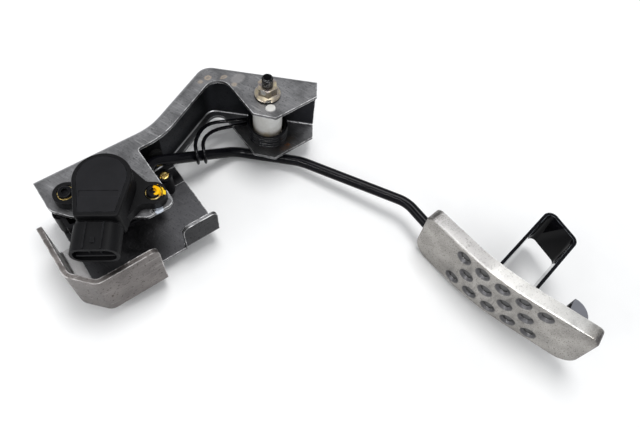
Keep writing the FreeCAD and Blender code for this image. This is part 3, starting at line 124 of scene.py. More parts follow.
effectShape = {  # each range is where a ramp starts and ends
    "samples": 6, "pitEdge": 0.03, "scratchDensity": 0.35, "scratchRange": (0.66, 0.72),
    "edgeRange": (0.995, 0.86), "breakupRange": (0.36, 0.58), "grimeAndShadeScale": 160.0, "grimeAndShadeRange": (0.85, 0.25),
    "grimeAndShadeUneven": (0.2, 0.8, 0.6, 1.0), "daubScale": 700.0, "daubRagged": 3.0, "turnReach": 0.15,
    "cloudRange": (0.3, 0.7),
}


def makeGrain():
    # even fine grain with sparse deeper pits: Height for bump and Pits as a mask
    inputs = {"Vector": None, "Scale": 900.0, "Pit Scale": 500.0, "Pit Share": 0.3}
    tree, given, result = newGroup("fineGrain", inputs, ("Height", "Pits"))
    fine = noise(tree, given["Vector"], given["Scale"], detail=2.0)
    spots = noise(tree, given["Vector"], given["Pit Scale"], detail=1.0, rough=0.4)
    limit = times(tree, given["Pit Share"], 0.5)
    inner = calc(tree, "SUBTRACT", limit, effectShape["pitEdge"])
    pits = ramp(tree, spots, inner, limit, 1.0, 0.0)
    tree.links.new(calc(tree, "SUBTRACT", fine, pits), result["Height"])
    tree.links.new(pits, result["Pits"])
    return tree


def makeBrushing():
    # long thin lines along the vector's X, and a few of them as scratches
    inputs = {"Vector": None, "Density": 1600.0, "Stretch": 0.02}
    tree, given, result = newGroup("brushing", inputs, ("Lines", "Scratches"))
    shape = put(tree, "ShaderNodeCombineXYZ", {0: given["Stretch"], 1: 1.0, 2: 1.0}).outputs[0]
    drawn = vectorCalc(tree, "MULTIPLY", given["Vector"], shape)
    tree.links.new(noise(tree, drawn, given["Density"], rough=0.65), result["Lines"])
    wide = times(tree, given["Density"], effectShape["scratchDensity"])
    sparse = noise(tree, drawn, wide, detail=1.0, rough=0.5)
    tree.links.new(ramp(tree, sparse, *effectShape["scratchRange"]), result["Scratches"])
    return tree


def makeEdgeWear():
    # 1 on a worn outside edge, broken up by noise
    inputs = {"Vector": None, "Radius": 0.001, "Breakup": 250.0, "Amount": 1.0}
    tree, given, result = newGroup("edgeWear", inputs, ("Mask",))
    reach = {"Radius": given["Radius"]}
    rounded = put(tree, "ShaderNodeBevel", reach, samples=effectShape["samples"]).outputs[0]
    surface = put(tree, "ShaderNodeNewGeometry").outputs["Normal"]
    edge = ramp(tree, vectorCalc(tree, "DOT_PRODUCT", rounded, surface), *effectShape["edgeRange"])
    spots = noise(tree, given["Vector"], given["Breakup"], detail=4.0)
    broken = ramp(tree, spots, *effectShape["breakupRange"])
    tree.links.new(times(tree, times(tree, edge, broken), given["Amount"]), result["Mask"])
    return tree


def makeGrimeAndShade():
    # 1 deep in corners and under overhangs: grime together with painted shade from ambient occlusion
    inputs = {"Vector": None, "Reach": 0.006, "Amount": 1.0}
    tree, given, result = newGroup("cornerGrimeAndShade", inputs, ("Mask",))
    reach = {"Distance": given["Reach"]}
    shade = put(tree, "ShaderNodeAmbientOcclusion", reach, samples=effectShape["samples"]).outputs["AO"]
    spots = noise(tree, given["Vector"], effectShape["grimeAndShadeScale"])
    uneven = ramp(tree, spots, *effectShape["grimeAndShadeUneven"])
    deep = ramp(tree, shade, *effectShape["grimeAndShadeRange"])
    tree.links.new(times(tree, times(tree, deep, uneven), given["Amount"]), result["Mask"])
    return tree


def makeDaub():
    # a ragged oval patch at a place: paint daubs, rust spots, heat marks and patches of painted shade
    inputs = {"Vector": None, "Place": (0, 0, 0), "Size": (0.002, 0.002, 0.002), "Softness": 0.2,
              "Ragged": 0.5}
    tree, given, result = newGroup("stainAndShadeDaub", inputs, ("Mask",))
    away = vectorCalc(tree, "SUBTRACT", given["Vector"], given["Place"])
    reach = vectorCalc(tree, "LENGTH", vectorCalc(tree, "DIVIDE", away, given["Size"]))
    uneven = calc(tree, "SUBTRACT", noise(tree, given["Vector"], effectShape["daubScale"]), 0.5)
    ragged = times(tree, given["Ragged"], effectShape["daubRagged"])
    bent = calc(tree, "ADD", reach, times(tree, uneven, ragged))
    inner = calc(tree, "SUBTRACT", 1.0, given["Softness"])
    tree.links.new(ramp(tree, bent, inner, 1.0, 1.0, 0.0), result["Mask"])
    return tree


def makeFaceZone():
    # 1 on the faces that look one way inside a box
    inputs = {"Vector": None, "Normal": None, "Facing": (0, 0, 1), "Low": (-1, -1, -1), "High": (1, 1, 1),
              "Softness": 0.001, "Turn": 0.25}
    tree, given, result = newGroup("faceZone", inputs, ("Mask",))
    over = vectorCalc(tree, "SUBTRACT", given["Vector"], given["Low"])
    under = vectorCalc(tree, "SUBTRACT", given["High"], given["Vector"])
    depths = put(tree, "ShaderNodeSeparateXYZ", {0: vectorCalc(tree, "MINIMUM", over, under)}).outputs
    depth = calc(tree, "MINIMUM", calc(tree, "MINIMUM", depths[0], depths[1]), depths[2])
    inside = ramp(tree, depth, 0.0, given["Softness"])
    facing = vectorCalc(tree, "DOT_PRODUCT", given["Normal"], given["Facing"])
    full = calc(tree, "ADD", given["Turn"], effectShape["turnReach"])
    turned = ramp(tree, facing, given["Turn"], full)
    tree.links.new(times(tree, inside, turned), result["Mask"])
    return tree


grainGroup = makeGrain()
brushingGroup = makeBrushing()
edgeGroup = makeEdgeWear()
grimeAndShadeGroup = makeGrimeAndShade()
daubGroup = makeDaub()
zoneGroup = makeFaceZone()
print("shared effects made")


def useGroup(tree, group, inputs):
    return put(tree, "ShaderNodeGroup", inputs, node_tree=group).outputs


def newMaterial(name):
    material = bpy.data.materials.new(name)
    material.use_nodes = True
    tree = material.node_tree
    shader = tree.nodes["Principled BSDF"]
    place = tree.nodes.new("ShaderNodeTexCoord").outputs["Object"]
    return material, tree, shader, place


def makeGround(tree, place, look):
    # the grain, the clouding and the clouded colour that every finish starts from
    grain = useGroup(tree, grainGroup, {"Vector": place, "Scale": look["grainScale"],
                                        "Pit Scale": look["pitScale"], "Pit Share": look["pitShare"]})
    cloud = ramp(tree, noise(tree, place, look["cloudScale"], detail=4.0), *effectShape["cloudRange"])
    return grain, cloud, blendColor(tree, cloud, look["dark"], look["light"])


def addDaubs(tree, place, color, daubs):
    # each daub is (place in mm, size in mm, colour, strength, softness, ragged)
    for spot, extent, tint, strength, softness, ragged in daubs:
        inputs = {"Vector": place, "Place": inMetres(spot), "Size": inMetres(extent),
                  "Softness": softness, "Ragged": ragged}
        mask = useGroup(tree, daubGroup, inputs)["Mask"]
        color = blendColor(tree, times(tree, mask, strength), color, tint)
    return color


def addZones(tree, place, color, zones):
    # each zone is (facing, low corner in mm, high corner in mm, colour, strength, softness in mm, turn)
    looks = tree.nodes.new("ShaderNodeTexCoord").outputs["Normal"]
    for facing, low, high, tint, strength, softness, turn in zones:
        inputs = {"Vector": place, "Normal": looks, "Facing": facing, "Low": inMetres(low),
                  "High": inMetres(high), "Softness": softness * millimetre, "Turn": turn}
        mask = useGroup(tree, zoneGroup, inputs)["Mask"]
        color = blendColor(tree, times(tree, mask, strength), color, tint)
    return color


def addWearGrimeAndShade(tree, place, color, look):
    # rubbed edges, then grime and painted shade in the corners
    wear = useGroup(tree, edgeGroup, {"Vector": place, "Radius": look["edgeRadius"],
                                      "Amount": look["edgeShow"]})
    color = blendColor(tree, wear["Mask"], color, look["edge"])
    grimeAndShade = useGroup(tree, grimeAndShadeGroup, {"Vector": place, "Reach": look["grimeAndShadeReach"],
                                        "Amount": look["grimeAndShadeShow"]})
    return blendColor(tree, grimeAndShade["Mask"], color, look["grimeAndShade"])


def spreadRough(tree, look, cloud, spots):
    # roughness that follows the clouding and rises in the spots
    clouded = times(tree, calc(tree, "SUBTRACT", cloud, 0.5), look["roughSpread"])
    rough = calc(tree, "ADD", look["rough"], clouded)
    return calc(tree, "ADD", rough, times(tree, spots, look["spotRough"]), clamp=True)


def bumpFrom(tree, height, look):
    inputs = {"Height": height, "Strength": look["bump"], "Distance": look["bumpDepth"]}
    return put(tree, "ShaderNodeBump", inputs).outputs[0]


# Where the pedal pad's grip holes are, in mm from the pivot's foot

padDish = {
    "top": (48.4, -131.0), "bend": (53.4, -193.1), "toe": (78.5, -267.0), "radius": 210.0, "middle": -6.0,
    "rowPitch": 16.0, "first": 38.0, "pitch": 16.6, "rows": 5, "middleShift": 8.0, "corners": 40,
    "mergeReach": 0.01, "smoothAngle": 25,
    # each ring is (level, radius)
    "rings": ((-2.2, 3.72), (-1.75, 3.72), (-1.7, 4.5), (-1.25, 4.75), (0.05, 6.35), (0.8, 6.5)),
}


def padFace(distance):
    # the place on the pad's face after a distance from its top, and the way out of the face
    top, bend, toe = (Vector(padDish[name]) for name in ("top", "bend", "toe"))
    upper, lower = (bend - top).normalized(), (toe - bend).normalized()
    turn = upper.angle(lower)
    straight = (bend - top).length - padDish["radius"] * math.tan(turn / 2)
    arc = min(max(distance - straight, 0), padDish["radius"] * turn)
    center = top + upper * straight + Vector((-upper.y, upper.x)) * padDish["radius"]
    way = math.atan2(upper.x, -upper.y) + arc / padDish["radius"]
    along, out = Vector((math.sin(way), -math.cos(way))), Vector((-math.cos(way), -math.sin(way)))
    return center + out * padDish["radius"] + along * (distance - straight - arc), out


def dishSpots():
    # distance down the face and height of each grip hole: two long rows and the row between them
    shape = padDish
    spots = [(shape["first"] + shape["pitch"] * i, shape["middle"] + side * shape["rowPitch"])
             for i in range(shape["rows"]) for side in (-1, 1)]
    return spots + [(shape["first"] + shape["pitch"] * (i - 1) + shape["middleShift"], shape["middle"])
                    for i in range(1, shape["rows"])]


def onPad(distance, height, aside=0.0):
    # a point on the pad's face in mm in the part's frame, moved aside along X
    place = padFace(distance)[0]
    return Vector((place.x + aside, place.y, height)) + pivotPlace / millimetre


# Bare and plated metal

plainMetal = {  # what a metal has where its own look says nothing
    "brushTurn": (0, 0, 0), "brushDensity": 1800.0, "brushStretch": 0.03, "brushTint": (0.9, 0.9, 0.9),
    "brushRange": (0.3, 0.7), "brushShow": 0.25, "brushDepth": 0.6, "scratchShow": 0.2,
    "grainScale": 1500.0, "pitScale": 700.0, "pitShare": 0.55, "pitShow": 0.5, "cloudScale": 60.0,
    "edgeRadius": 0.0009, "edgeShow": 0.8, "grimeAndShadeReach": 0.006, "grimeAndShadeShow": 0.6, "roughSpread": 0.15,
    "spotRough": 0.2, "bump": 0.25, "bumpDepth": 0.00012,
}


def makeMetal(name, ownLook, daubs=(), zones=()):
    # mottled metal with brushing, pits, worn edges, and corner grime with painted shade
    look = {**plainMetal, **ownLook}
    material, tree, shader, place = newMaterial(name)
    grain, cloud, color = makeGround(tree, place, look)
    turned = put(tree, "ShaderNodeMapping", {"Vector": place, "Rotation": look["brushTurn"]}).outputs[0]
    brush = useGroup(tree, brushingGroup, {"Vector": turned, "Density": look["brushDensity"],
                                           "Stretch": look["brushStretch"]})
    lines = ramp(tree, brush["Lines"], *look["brushRange"])
    color = blendColor(tree, times(tree, lines, look["brushShow"]), color, look["brushTint"], "OVERLAY")
    color = blendColor(tree, times(tree, brush["Scratches"], look["scratchShow"]), color, look["edge"])
    color = blendColor(tree, times(tree, grain["Pits"], look["pitShow"]), color, look["pit"])
    color = addZones(tree, place, color, zones)
    color = addDaubs(tree, place, color, daubs)
    tree.links.new(addWearGrimeAndShade(tree, place, color, look), shader.inputs["Base Color"])
    tree.links.new(spreadRough(tree, look, cloud, grain["Pits"]), shader.inputs["Roughness"])
    shader.inputs["Metallic"].default_value = 1.0
    height = calc(tree, "ADD", grain["Height"], times(tree, lines, look["brushDepth"]))
    tree.links.new(bumpFrom(tree, height, look), shader.inputs["Normal"])
    return material


bracketLook = {
    "dark": (0.085, 0.085, 0.088), "light": (0.165, 0.165, 0.17), "edge": (0.85, 0.85, 0.86),
    "pit": (0.035, 0.034, 0.032), "grimeAndShade": (0.02, 0.02, 0.022), "rough": 0.44, "roughSpread": 0.2,
    "brushTurn": (0, 0, 1.2), "brushDensity": 1300.0, "brushStretch": 0.12, "brushShow": 0.6,
    "pitShare": 0.72, "pitShow": 0.28, "scratchShow": 0.1, "grimeAndShadeReach": 0.012, "grimeAndShadeShow": 0.6,
    "cloudScale": 70.0, "edgeRadius": 0.0011, "edgeShow": 1.0, "bump": 0.4,
}
heatMark = (0.38, 0.32, 0.26)
heatCore = (0.2, 0.19, 0.18)
black = (0.01, 0.01, 0.01)
bracketDaubs = [
    # heat marks at the top flange's apex
    ((98.8, 15.0, 41.0), (3.0, 2.6, 3.0), heatMark, 0.8, 0.3, 0.25),
    ((98.8, 15.0, 41.0), (1.6, 1.2, 3.0), heatCore, 0.7, 0.4, 0.3),
    ((92.4, 14.6, 41.0), (2.4, 2.2, 3.0), heatMark, 0.6, 0.5, 0.3),
    ((108.6, 9.5, 41.0), (3.4, 1.9, 3.0), heatMark, 0.75, 0.3, 0.3),
    ((108.6, 9.5, 41.0), (2.0, 0.9, 3.0), heatCore, 0.6, 0.4, 0.3),
    ((111.3, -0.4, 41.0), (2.6, 2.2, 3.0), heatMark, 0.65, 0.4, 0.3),
    ((116.5, 3.0, 41.0), (6.5, 4.5, 3.0), (0.34, 0.33, 0.33), 0.5, 0.3, 0.2),
    # pale paint in front of the right ear
    ((17.2, -62.6, 40.5), (2.6, 4.2, 2.5), (0.62, 0.68, 0.78), 0.95, 0.15, 0.5),
    # black spots on the base plate
    ((39.5, -65.6, -5.0), (1.6, 1.6, 1.6), black, 0.9, 0.3, 0.4),
    ((43.2, -66.2, -5.0), (1.5, 1.5, 1.5), black, 0.9, 0.3, 0.4),
    # rust on the lower flange in front of the springs
    ((131.0, -38.5, -7.0), (7.0, 3.0, 2.0), (0.16, 0.08, 0.035), 0.6, 0.8, 0.9),
    ((138.5, -33.0, -7.0), (6.5, 4.5, 2.0), (0.12, 0.08, 0.045), 0.55, 0.9, 0.9),
    ((134.0, -36.5, -7.0), (2.4, 1.4, 2.0), (0.3, 0.13, 0.05), 0.7, 0.4, 0.9),
    # painted shade: a dark patch below the top flange
    ((121.0, 13.0, 34.5), (8.0, 8.0, 2.6), (0.004, 0.004, 0.005), 0.95, 0.15, 0.1),
]
# painted highlights and painted shade on faces that look one way
bracketPaintedLight = [
    # painted highlight along the bend at the back of the top flange
    ((0, 0.55, 0.83), (-60, -60, 36.0), (200, 60, 45.0), (0.42, 0.42, 0.43), 0.6, 0.3, 0.86),
    # painted shade on the front of the web and the underside of the top flange
    ((0, -1, 0), (-60, -60, -6.5), (200, 60, 38.5), (0.022, 0.0235, 0.029), 0.93, 1.0, 0.3),
    ((0, 0, -1), (-60, -60, 20.0), (200, 60, 39.5), (0.015, 0.015, 0.017), 0.9, 0.5, 0.3),
    # painted shade on the base plate, the lower flange and the front tab
    ((0, 0, 1), (-60, -80, -12.0), (60, 60, -6.2), (0.052, 0.052, 0.056), 0.8, 0.4, 0.5),
    ((0, 0, 1), (55, -80, -12.0), (200, 60, -6.2), (0.085, 0.085, 0.09), 0.7, 6.0, 0.5),
    ((0, -1, 0), (20, -90, -6.0), (60, -66, 30.0), (0.014, 0.014, 0.016), 0.92, 0.6, 0.6),
    # painted highlight along the bend at the foot of the web
    ((0, -0.66, 0.75), (20, -60, -8.0), (200, 60, -4.0), (0.8, 0.81, 0.83), 0.85, 0.2, 0.86),
]
plateLook = {
    "dark": (0.085, 0.076, 0.073), "light": (0.19, 0.175, 0.168), "edge": (0.7, 0.68, 0.67),
    "pit": (0.05, 0.04, 0.035), "grimeAndShade": (0.03, 0.026, 0.024), "rough": 0.4, "roughSpread": 0.2,
    "brushDensity": 1100.0, "brushStretch": 0.06, "brushShow": 0.3, "scratchShow": 0.15, "pitShare": 0.7,
    "edgeRadius": 0.0014, "edgeShow": 1.0, "cloudScale": 70.0,
}
plateDaubs = [
    ((-43.9, -56.4, 10.5), (1.6, 1.8, 1.8), (0.2, 0.075, 0.02), 0.85, 0.5, 0.6),
    ((-30.0, -79.6, 8.0), (5.0, 3.0, 4.0), (0.12, 0.09, 0.07), 0.5, 0.8, 0.6),
]
platePaintedHighlight = [
    # painted highlight on the corner plate's faces that look towards +X and up
    ((0.9, 0, 0.44), (-60, -100, -20), (-36, 0, 30), (0.75, 0.74, 0.74), 0.8, 0.5, 0.3),
]
padLook = {
    "dark": (0.215, 0.205, 0.193), "light": (0.385, 0.37, 0.35), "edge": (0.8, 0.79, 0.78),
    "pit": (0.12, 0.11, 0.1), "grimeAndShade": (0.05, 0.045, 0.045), "rough": 0.38, "roughSpread": 0.12,
    "grainScale": 2600.0, "pitScale": 1000.0, "pitShare": 0.76, "pitShow": 0.5, "brushShow": 0.3,
    "scratchShow": 0.15, "bump": 0.4, "edgeRadius": 0.0012, "edgeShow": 0.7, "grimeAndShadeShow": 0.5,
    "cloudScale": 50.0,
}
# painted shade: a dark disc in the dish round each grip hole
padDaubs = [(onPad(*spot), (6.3, 6.3, 6.3), (0.105, 0.105, 0.112), 0.92, 0.1, 0.0) for spot in dishSpots()]
padDaubs += [
    # darker corners, ends and a dent
    (onPad(2.0, -31.0), (12.0, 12.0, 5.0), (0.09, 0.08, 0.075), 0.55, 0.8, 0.5),
    (onPad(1.0, 18.5, 6.0), (9.0, 7.0, 4.0), (0.07, 0.065, 0.06), 0.8, 0.8, 0.8),
    (onPad(138.0, 18.5, 7.0), (9.0, 5.0, 5.0), (0.06, 0.055, 0.06), 0.8, 0.7, 0.8),
    (onPad(139.0, 16.0), (15.0, 15.0, 6.0), (0.12, 0.11, 0.1), 0.5, 0.9, 0.6),
    (onPad(139.0, -30.0), (14.0, 14.0, 6.0), (0.12, 0.11, 0.1), 0.45, 0.9, 0.6),
    (onPad(118.0, -18.0), (2.6, 0.7, 0.7), (0.1, 0.095, 0.09), 0.7, 0.3, 0.3),
]
padHighlightAndEnds = [
    # painted highlight on the upper side, bright towards the toe and duller towards the top, then the two
    # darker ends
    ((0, 0, 1), (160, -282, 0), (240, -202, 30), (0.95, 0.96, 0.95), 0.75, 24.0, 0.6),
    ((0, 0, 1), (150, -212, 0), (240, -120, 30), (0.33, 0.33, 0.34), 0.55, 12.0, 0.6),
    ((0.1, 1, 0.3), (160, -153, -60), (240, -140, 30), (0.14, 0.13, 0.12), 0.6, 1.0, 0.35),
    ((0.3, -1, 0.3), (160, -320, -60), (260, -282, 30), (0.13, 0.12, 0.13), 0.65, 1.5, 0.35),
]
zincLook = {
    "dark": (0.28, 0.24, 0.25), "light": (0.52, 0.45, 0.29), "edge": (0.85, 0.84, 0.8),
    "pit": (0.12, 0.1, 0.08), "grimeAndShade": (0.05, 0.04, 0.03), "rough": 0.3, "cloudScale": 260.0,
    "brushShow": 0.1, "edgeRadius": 0.0005, "grimeAndShadeReach": 0.003,
}
yellowZincLook = {
    "dark": (0.3, 0.19, 0.04), "light": (0.75, 0.55, 0.2), "edge": (0.95, 0.85, 0.5),
    "pit": (0.15, 0.1, 0.03), "grimeAndShade": (0.06, 0.04, 0.01), "rough": 0.28, "cloudScale": 300.0,
    "edgeRadius": 0.0004, "grimeAndShadeReach": 0.002, "brushShow": 0.1,
}
plainZincLook = {
    "dark": (0.4, 0.4, 0.41), "light": (0.55, 0.55, 0.56), "edge": (0.8, 0.8, 0.8),
    "pit": (0.15, 0.14, 0.13), "grimeAndShade": (0.05, 0.05, 0.05), "rough": 0.32, "cloudScale": 260.0,
    "edgeRadius": 0.0005, "grimeAndShadeReach": 0.003, "brushShow": 0.1,
}
goldLook = {
    "dark": (0.62, 0.42, 0.15), "light": (0.8, 0.6, 0.26), "edge": (0.95, 0.8, 0.5),
    "pit": (0.2, 0.14, 0.05), "grimeAndShade": (0.08, 0.05, 0.02), "rough": 0.22, "edgeRadius": 0.0002,
    "grimeAndShadeReach": 0.001,
}
shaftLook = {
    "dark": (0.2, 0.2, 0.205), "light": (0.32, 0.32, 0.33), "edge": (0.6, 0.6, 0.6),
    "pit": (0.07, 0.065, 0.06), "grimeAndShade": (0.04, 0.035, 0.03), "rough": 0.3, "cloudScale": 150.0,
    "edgeRadius": 0.0006,
}
shaftZones = [  # the black end of the stud
    ((0, 0, 1), (118, -30, 50.0), (134, -12, 60.0), (0.006, 0.006, 0.007), 1.0, 0.2, -2.0),
]
paintDaubs = [  # yellow paint over the right ear's screw
    ((22.4, -53.8, 49.0), (2.4, 4.4, 3.4), (0.9, 0.46, 0.0), 1.0, 0.08, 0.55),
    ((24.4, -55.2, 49.0), (1.5, 3.4, 3.4), (0.95, 0.6, 0.02), 1.0, 0.08, 0.6),
    ((20.6, -55.6, 50.0), (2.2, 1.6, 2.6), (0.9, 0.5, 0.0), 1.0, 0.08, 0.7),
]
washerDaubs = [  # black that hides parts of both washers
    ((15.6, -54.6, 47.6), (2.6, 2.4, 2.0), black, 1.0, 0.1, 0.4),
    ((24.0, -50.4, 47.6), (3.4, 2.2, 2.0), black, 1.0, 0.1, 0.3),
    ((-27.4, -24.4, 47.6), (2.4, 3.0, 2.0), black, 1.0, 0.1, 0.4),
    ((-21.0, -27.4, 47.6), (3.0, 2.0, 2.0), black, 1.0, 0.1, 0.3),
] + paintDaubs
screwDaubs = [
    ((38.4, -44.2, 9.5), (5.0, 2.9, 3.0), black, 1.0, 0.1, 0.3),
    ((36.4, -39.8, 9.5), (5.0, 2.2, 3.0), black, 1.0, 0.1, 0.3),
]
nutDaubs = [  # pale paint on the nut and a black chip on its flange
    ((120.5, -24.0, 49.0), (2.2, 2.2, 2.6), (0.75, 0.75, 0.72), 0.9, 0.2, 0.6),
    ((121.6, -28.4, 42.8), (2.6, 1.8, 1.8), (0.01, 0.01, 0.012), 0.95, 0.2, 0.6),
]


# Paint, plastic and rubber

plainCoating = {  # what a coating has where its own look says nothing
    "grainScale": 1800.0, "pitScale": 900.0, "pitShare": 0.5, "cloudScale": 80.0, "dustScale": 900.0,
    "dustRange": (0.68, 0.8), "dustShow": 0.15, "edgeRadius": 0.0006, "edgeShow": 0.5, "grimeAndShadeReach": 0.004,
    "grimeAndShadeShow": 0.4, "roughSpread": 0.1, "spotRough": 0.2, "coat": 0.0, "coatRough": 0.08,
    "specular": 0.22, "bump": 0.2, "bumpDepth": 0.0001,
}


def makeCoating(name, ownLook, daubs=()):
    # an opaque skin: paint, moulded plastic or rubber, with grain, rubbed edges, dust, and corner grime with
    # painted shade
    look = {**plainCoating, **ownLook}
    material, tree, shader, place = newMaterial(name)
    grain, cloud, color = makeGround(tree, place, look)
    specks = noise(tree, place, look["dustScale"], detail=2.0, rough=0.7)
    dust = ramp(tree, specks, *look["dustRange"])
    color = blendColor(tree, times(tree, dust, look["dustShow"]), color, look["edge"])
    color = addDaubs(tree, place, color, daubs)
    tree.links.new(addWearGrimeAndShade(tree, place, color, look), shader.inputs["Base Color"])
    tree.links.new(spreadRough(tree, look, cloud, dust), shader.inputs["Roughness"])
    shader.inputs["Coat Weight"].default_value = look["coat"]
    shader.inputs["Coat Roughness"].default_value = look["coatRough"]
    shader.inputs["Specular IOR Level"].default_value = look["specular"]
    tree.links.new(bumpFrom(tree, grain["Height"], look), shader.inputs["Normal"])
    return material


sensorLook = {
    "dark": (0.003, 0.003, 0.0035), "light": (0.006, 0.006, 0.007), "edge": (0.04, 0.04, 0.045),
    "grimeAndShade": (0.0008, 0.0008, 0.001), "rough": 0.5, "grainScale": 2600.0, "bump": 0.3, "edgeShow": 0.6,
    "dustShow": 0.1, "specular": 0.1, "grimeAndShadeReach": 0.0016, "grimeAndShadeShow": 1.0, "edgeRadius": 0.0005,
}
coverLook = dict(sensorLook, dark=(0.009, 0.009, 0.0105), light=(0.0135, 0.0135, 0.0155), grimeAndShadeReach=0.001)
housingLook = dict(sensorLook, dark=(0.004, 0.004, 0.005), light=(0.008, 0.008, 0.009), rough=0.36,
                   edgeShow=0.35)
paintLook = {
    "dark": (0.003, 0.003, 0.004), "light": (0.006, 0.006, 0.008), "edge": (0.04, 0.045, 0.05),
    "grimeAndShade": (0.002, 0.002, 0.002), "rough": 0.035, "roughSpread": 0.01, "specular": 0.09,
    "grainScale": 350.0, "pitShare": 0.2, "bump": 0.02, "bumpDepth": 0.0002, "edgeShow": 0.15,
    "dustShow": 0.03, "grimeAndShadeShow": 0.2,
}
# the strap's rubbed edges carry a painted bluish highlight along them
strapLook = dict(paintLook, rough=0.06, edge=(0.3, 0.33, 0.36), edgeShow=0.8, edgeRadius=0.0005)
springLook = dict(paintLook, rough=0.04, bump=0.015, specular=0.17)
satinPaintLook = dict(paintLook, rough=0.34)
screwLook = dict(paintLook, rough=0.3, edge=(0.12, 0.12, 0.12), edgeShow=0.7, edgeRadius=0.0003)
rubberLook = {
    "dark": (0.008, 0.008, 0.008), "light": (0.014, 0.014, 0.015), "edge": (0.05, 0.05, 0.05),
    "grimeAndShade": (0.003, 0.003, 0.003), "rough": 0.75, "bump": 0.4, "dustShow": 0.2, "edgeShow": 0.2,
}
linerLook = dict(rubberLook, dark=(0.07, 0.07, 0.07), light=(0.13, 0.13, 0.13), rough=0.5)
bumperLook = {
    "dark": (0.15, 0.155, 0.175), "light": (0.2, 0.205, 0.23), "edge": (0.36, 0.36, 0.38),
    "grimeAndShade": (0.06, 0.06, 0.065), "rough": 0.7, "bump": 0.35, "grainScale": 1200.0, "dustShow": 0.2,
}
bushLook = {
    "dark": (0.5, 0.49, 0.46), "light": (0.66, 0.66, 0.65), "edge": (0.8, 0.8, 0.78),
    "grimeAndShade": (0.22, 0.15, 0.06), "rough": 0.42, "bump": 0.12, "grimeAndShadeReach": 0.008, "grimeAndShadeShow": 0.7,
    "dustShow": 0.1, "cloudScale": 110.0,
}
bushDaubs = [
    ((119.0, -31.0, 5.0), (3.0, 4.0, 9.0), (0.42, 0.28, 0.08), 0.5, 0.8, 0.5),
    ((134.0, -31.5, 24.0), (2.5, 3.0, 4.0), (0.45, 0.32, 0.12), 0.4, 0.8, 0.6),
]
rotorLook = dict(bushLook, dark=(0.45, 0.43, 0.38), light=(0.52, 0.5, 0.45))
boardLook = {
    "dark": (0.01, 0.07, 0.03), "light": (0.015, 0.1, 0.045), "edge": (0.3, 0.28, 0.15),
    "grimeAndShade": (0.004, 0.02, 0.01), "rough": 0.3, "coat": 0.3,
}

finishes = {
    "bracket_steel": makeMetal("bracketSteel", bracketLook, bracketDaubs, bracketPaintedLight),
    "plate_steel": makeMetal("cornerPlateSteel", plateLook, plateDaubs, platePaintedHighlight),
    "pad_metal": makeMetal("padMetal", padLook, padDaubs, padHighlightAndEnds),
    "shaft_steel": makeMetal("shaftSteel", shaftLook, zones=shaftZones),
    "pivot_zinc": makeMetal("pivotZinc", zincLook, nutDaubs),
    "washer_zinc": makeMetal("yellowWasherZinc", yellowZincLook, washerDaubs),
    "housing_screw": makeMetal("housingScrewZinc", yellowZincLook, screwDaubs),
    "sleeve_brass": makeMetal("sleeveBrass", goldLook),
    "terminal_gold": makeMetal("terminalGold", goldLook),
    "nut_zinc": makeMetal("weldNutZinc", plainZincLook),
    "pad_nut": makeMetal("padNutZinc", plainZincLook),
    "bush_plastic": makeCoating("bushPlastic", bushLook, bushDaubs),
    "rotor_plastic": makeCoating("rotorPlastic", rotorLook),
    "spring_steel": makeCoating("springPaint", springLook),
    "sensor_plastic": makeCoating("sensorPlastic", sensorLook, paintDaubs),
    "cover_plastic": makeCoating("coverPlastic", coverLook),
    "circuit_board": makeCoating("circuitBoard", boardLook),
    "seal_rubber": makeCoating("sealRubber", rubberLook),
    "sensor_screw": makeCoating("sensorScrewBlack", screwLook, paintDaubs),
    "housing_plastic": makeCoating("housingPlastic", housingLook),
    "stop_rubber": makeCoating("stopRubber", rubberLook),
    "rod_paint": makeCoating("rodPaint", paintLook),
    "cap_plastic": makeCoating("capPlastic", housingLook),
    "pad_rubber": makeCoating("padRubber", linerLook),
    "carrier_paint": makeCoating("carrierPaint", satinPaintLook),
    "strap_paint": makeCoating("strapPaint", strapLook),
    "bumper_rubber": makeCoating("bumperRubber", bumperLook),
    "lever_plastic": makeCoating("leverPlastic", housingLook),
}
nodeSlots = {row["node"]: row["material_slot"] for row in frame["record"]["subparts"]}
for name, thing in nodes.items():
    for slot in thing.material_slots:
        slot.material = finishes[nodeSlots[name]]
print("finishes made for", len(finishes), "slots")


# Return springs, in mm from the pivot's foot

springShape = {
    "wire": 2.8, "sides": 20, "curveOrder": 3, "curveSteps": 4, "smoothAngle": 40, "mean": 14.3,
    "pitch": 6.9, "turns": 2, "cornersPerTurn": 16, "riseShare": 0.93, "firstLevel": 4.1, "spacing": 3.25,
    "armRise": 2.6, "elbowReach": 0.42, "startReach": 0.12, "tipLength": 1, "tipRadius": 0.3,
    "webAngle": -43.3, "legLean": 5.0, "leg": (2, 20.0),
}
springs = {
    "lower": {"order": 0, "angle": 163.8, "arm": 40.0, "end": 6.7, "over": (-54.5, 0.84, 16.8),
              "back": (-49.5, 13.5, 16.8)},
    "upper": {"order": 1, "angle": 157.0, "arm": 46.0, "end": 10.2, "over": (-60.5, 0.87, 20.3),
              "back": (-55.5, 13.6, 20.3)},
}


def turnedBy(x, y, angle):
    cosine, sine = math.cos(math.radians(angle)), math.sin(math.radians(angle))
    return Vector((x * cosine - y * sine, x * sine + y * cosine, 0))


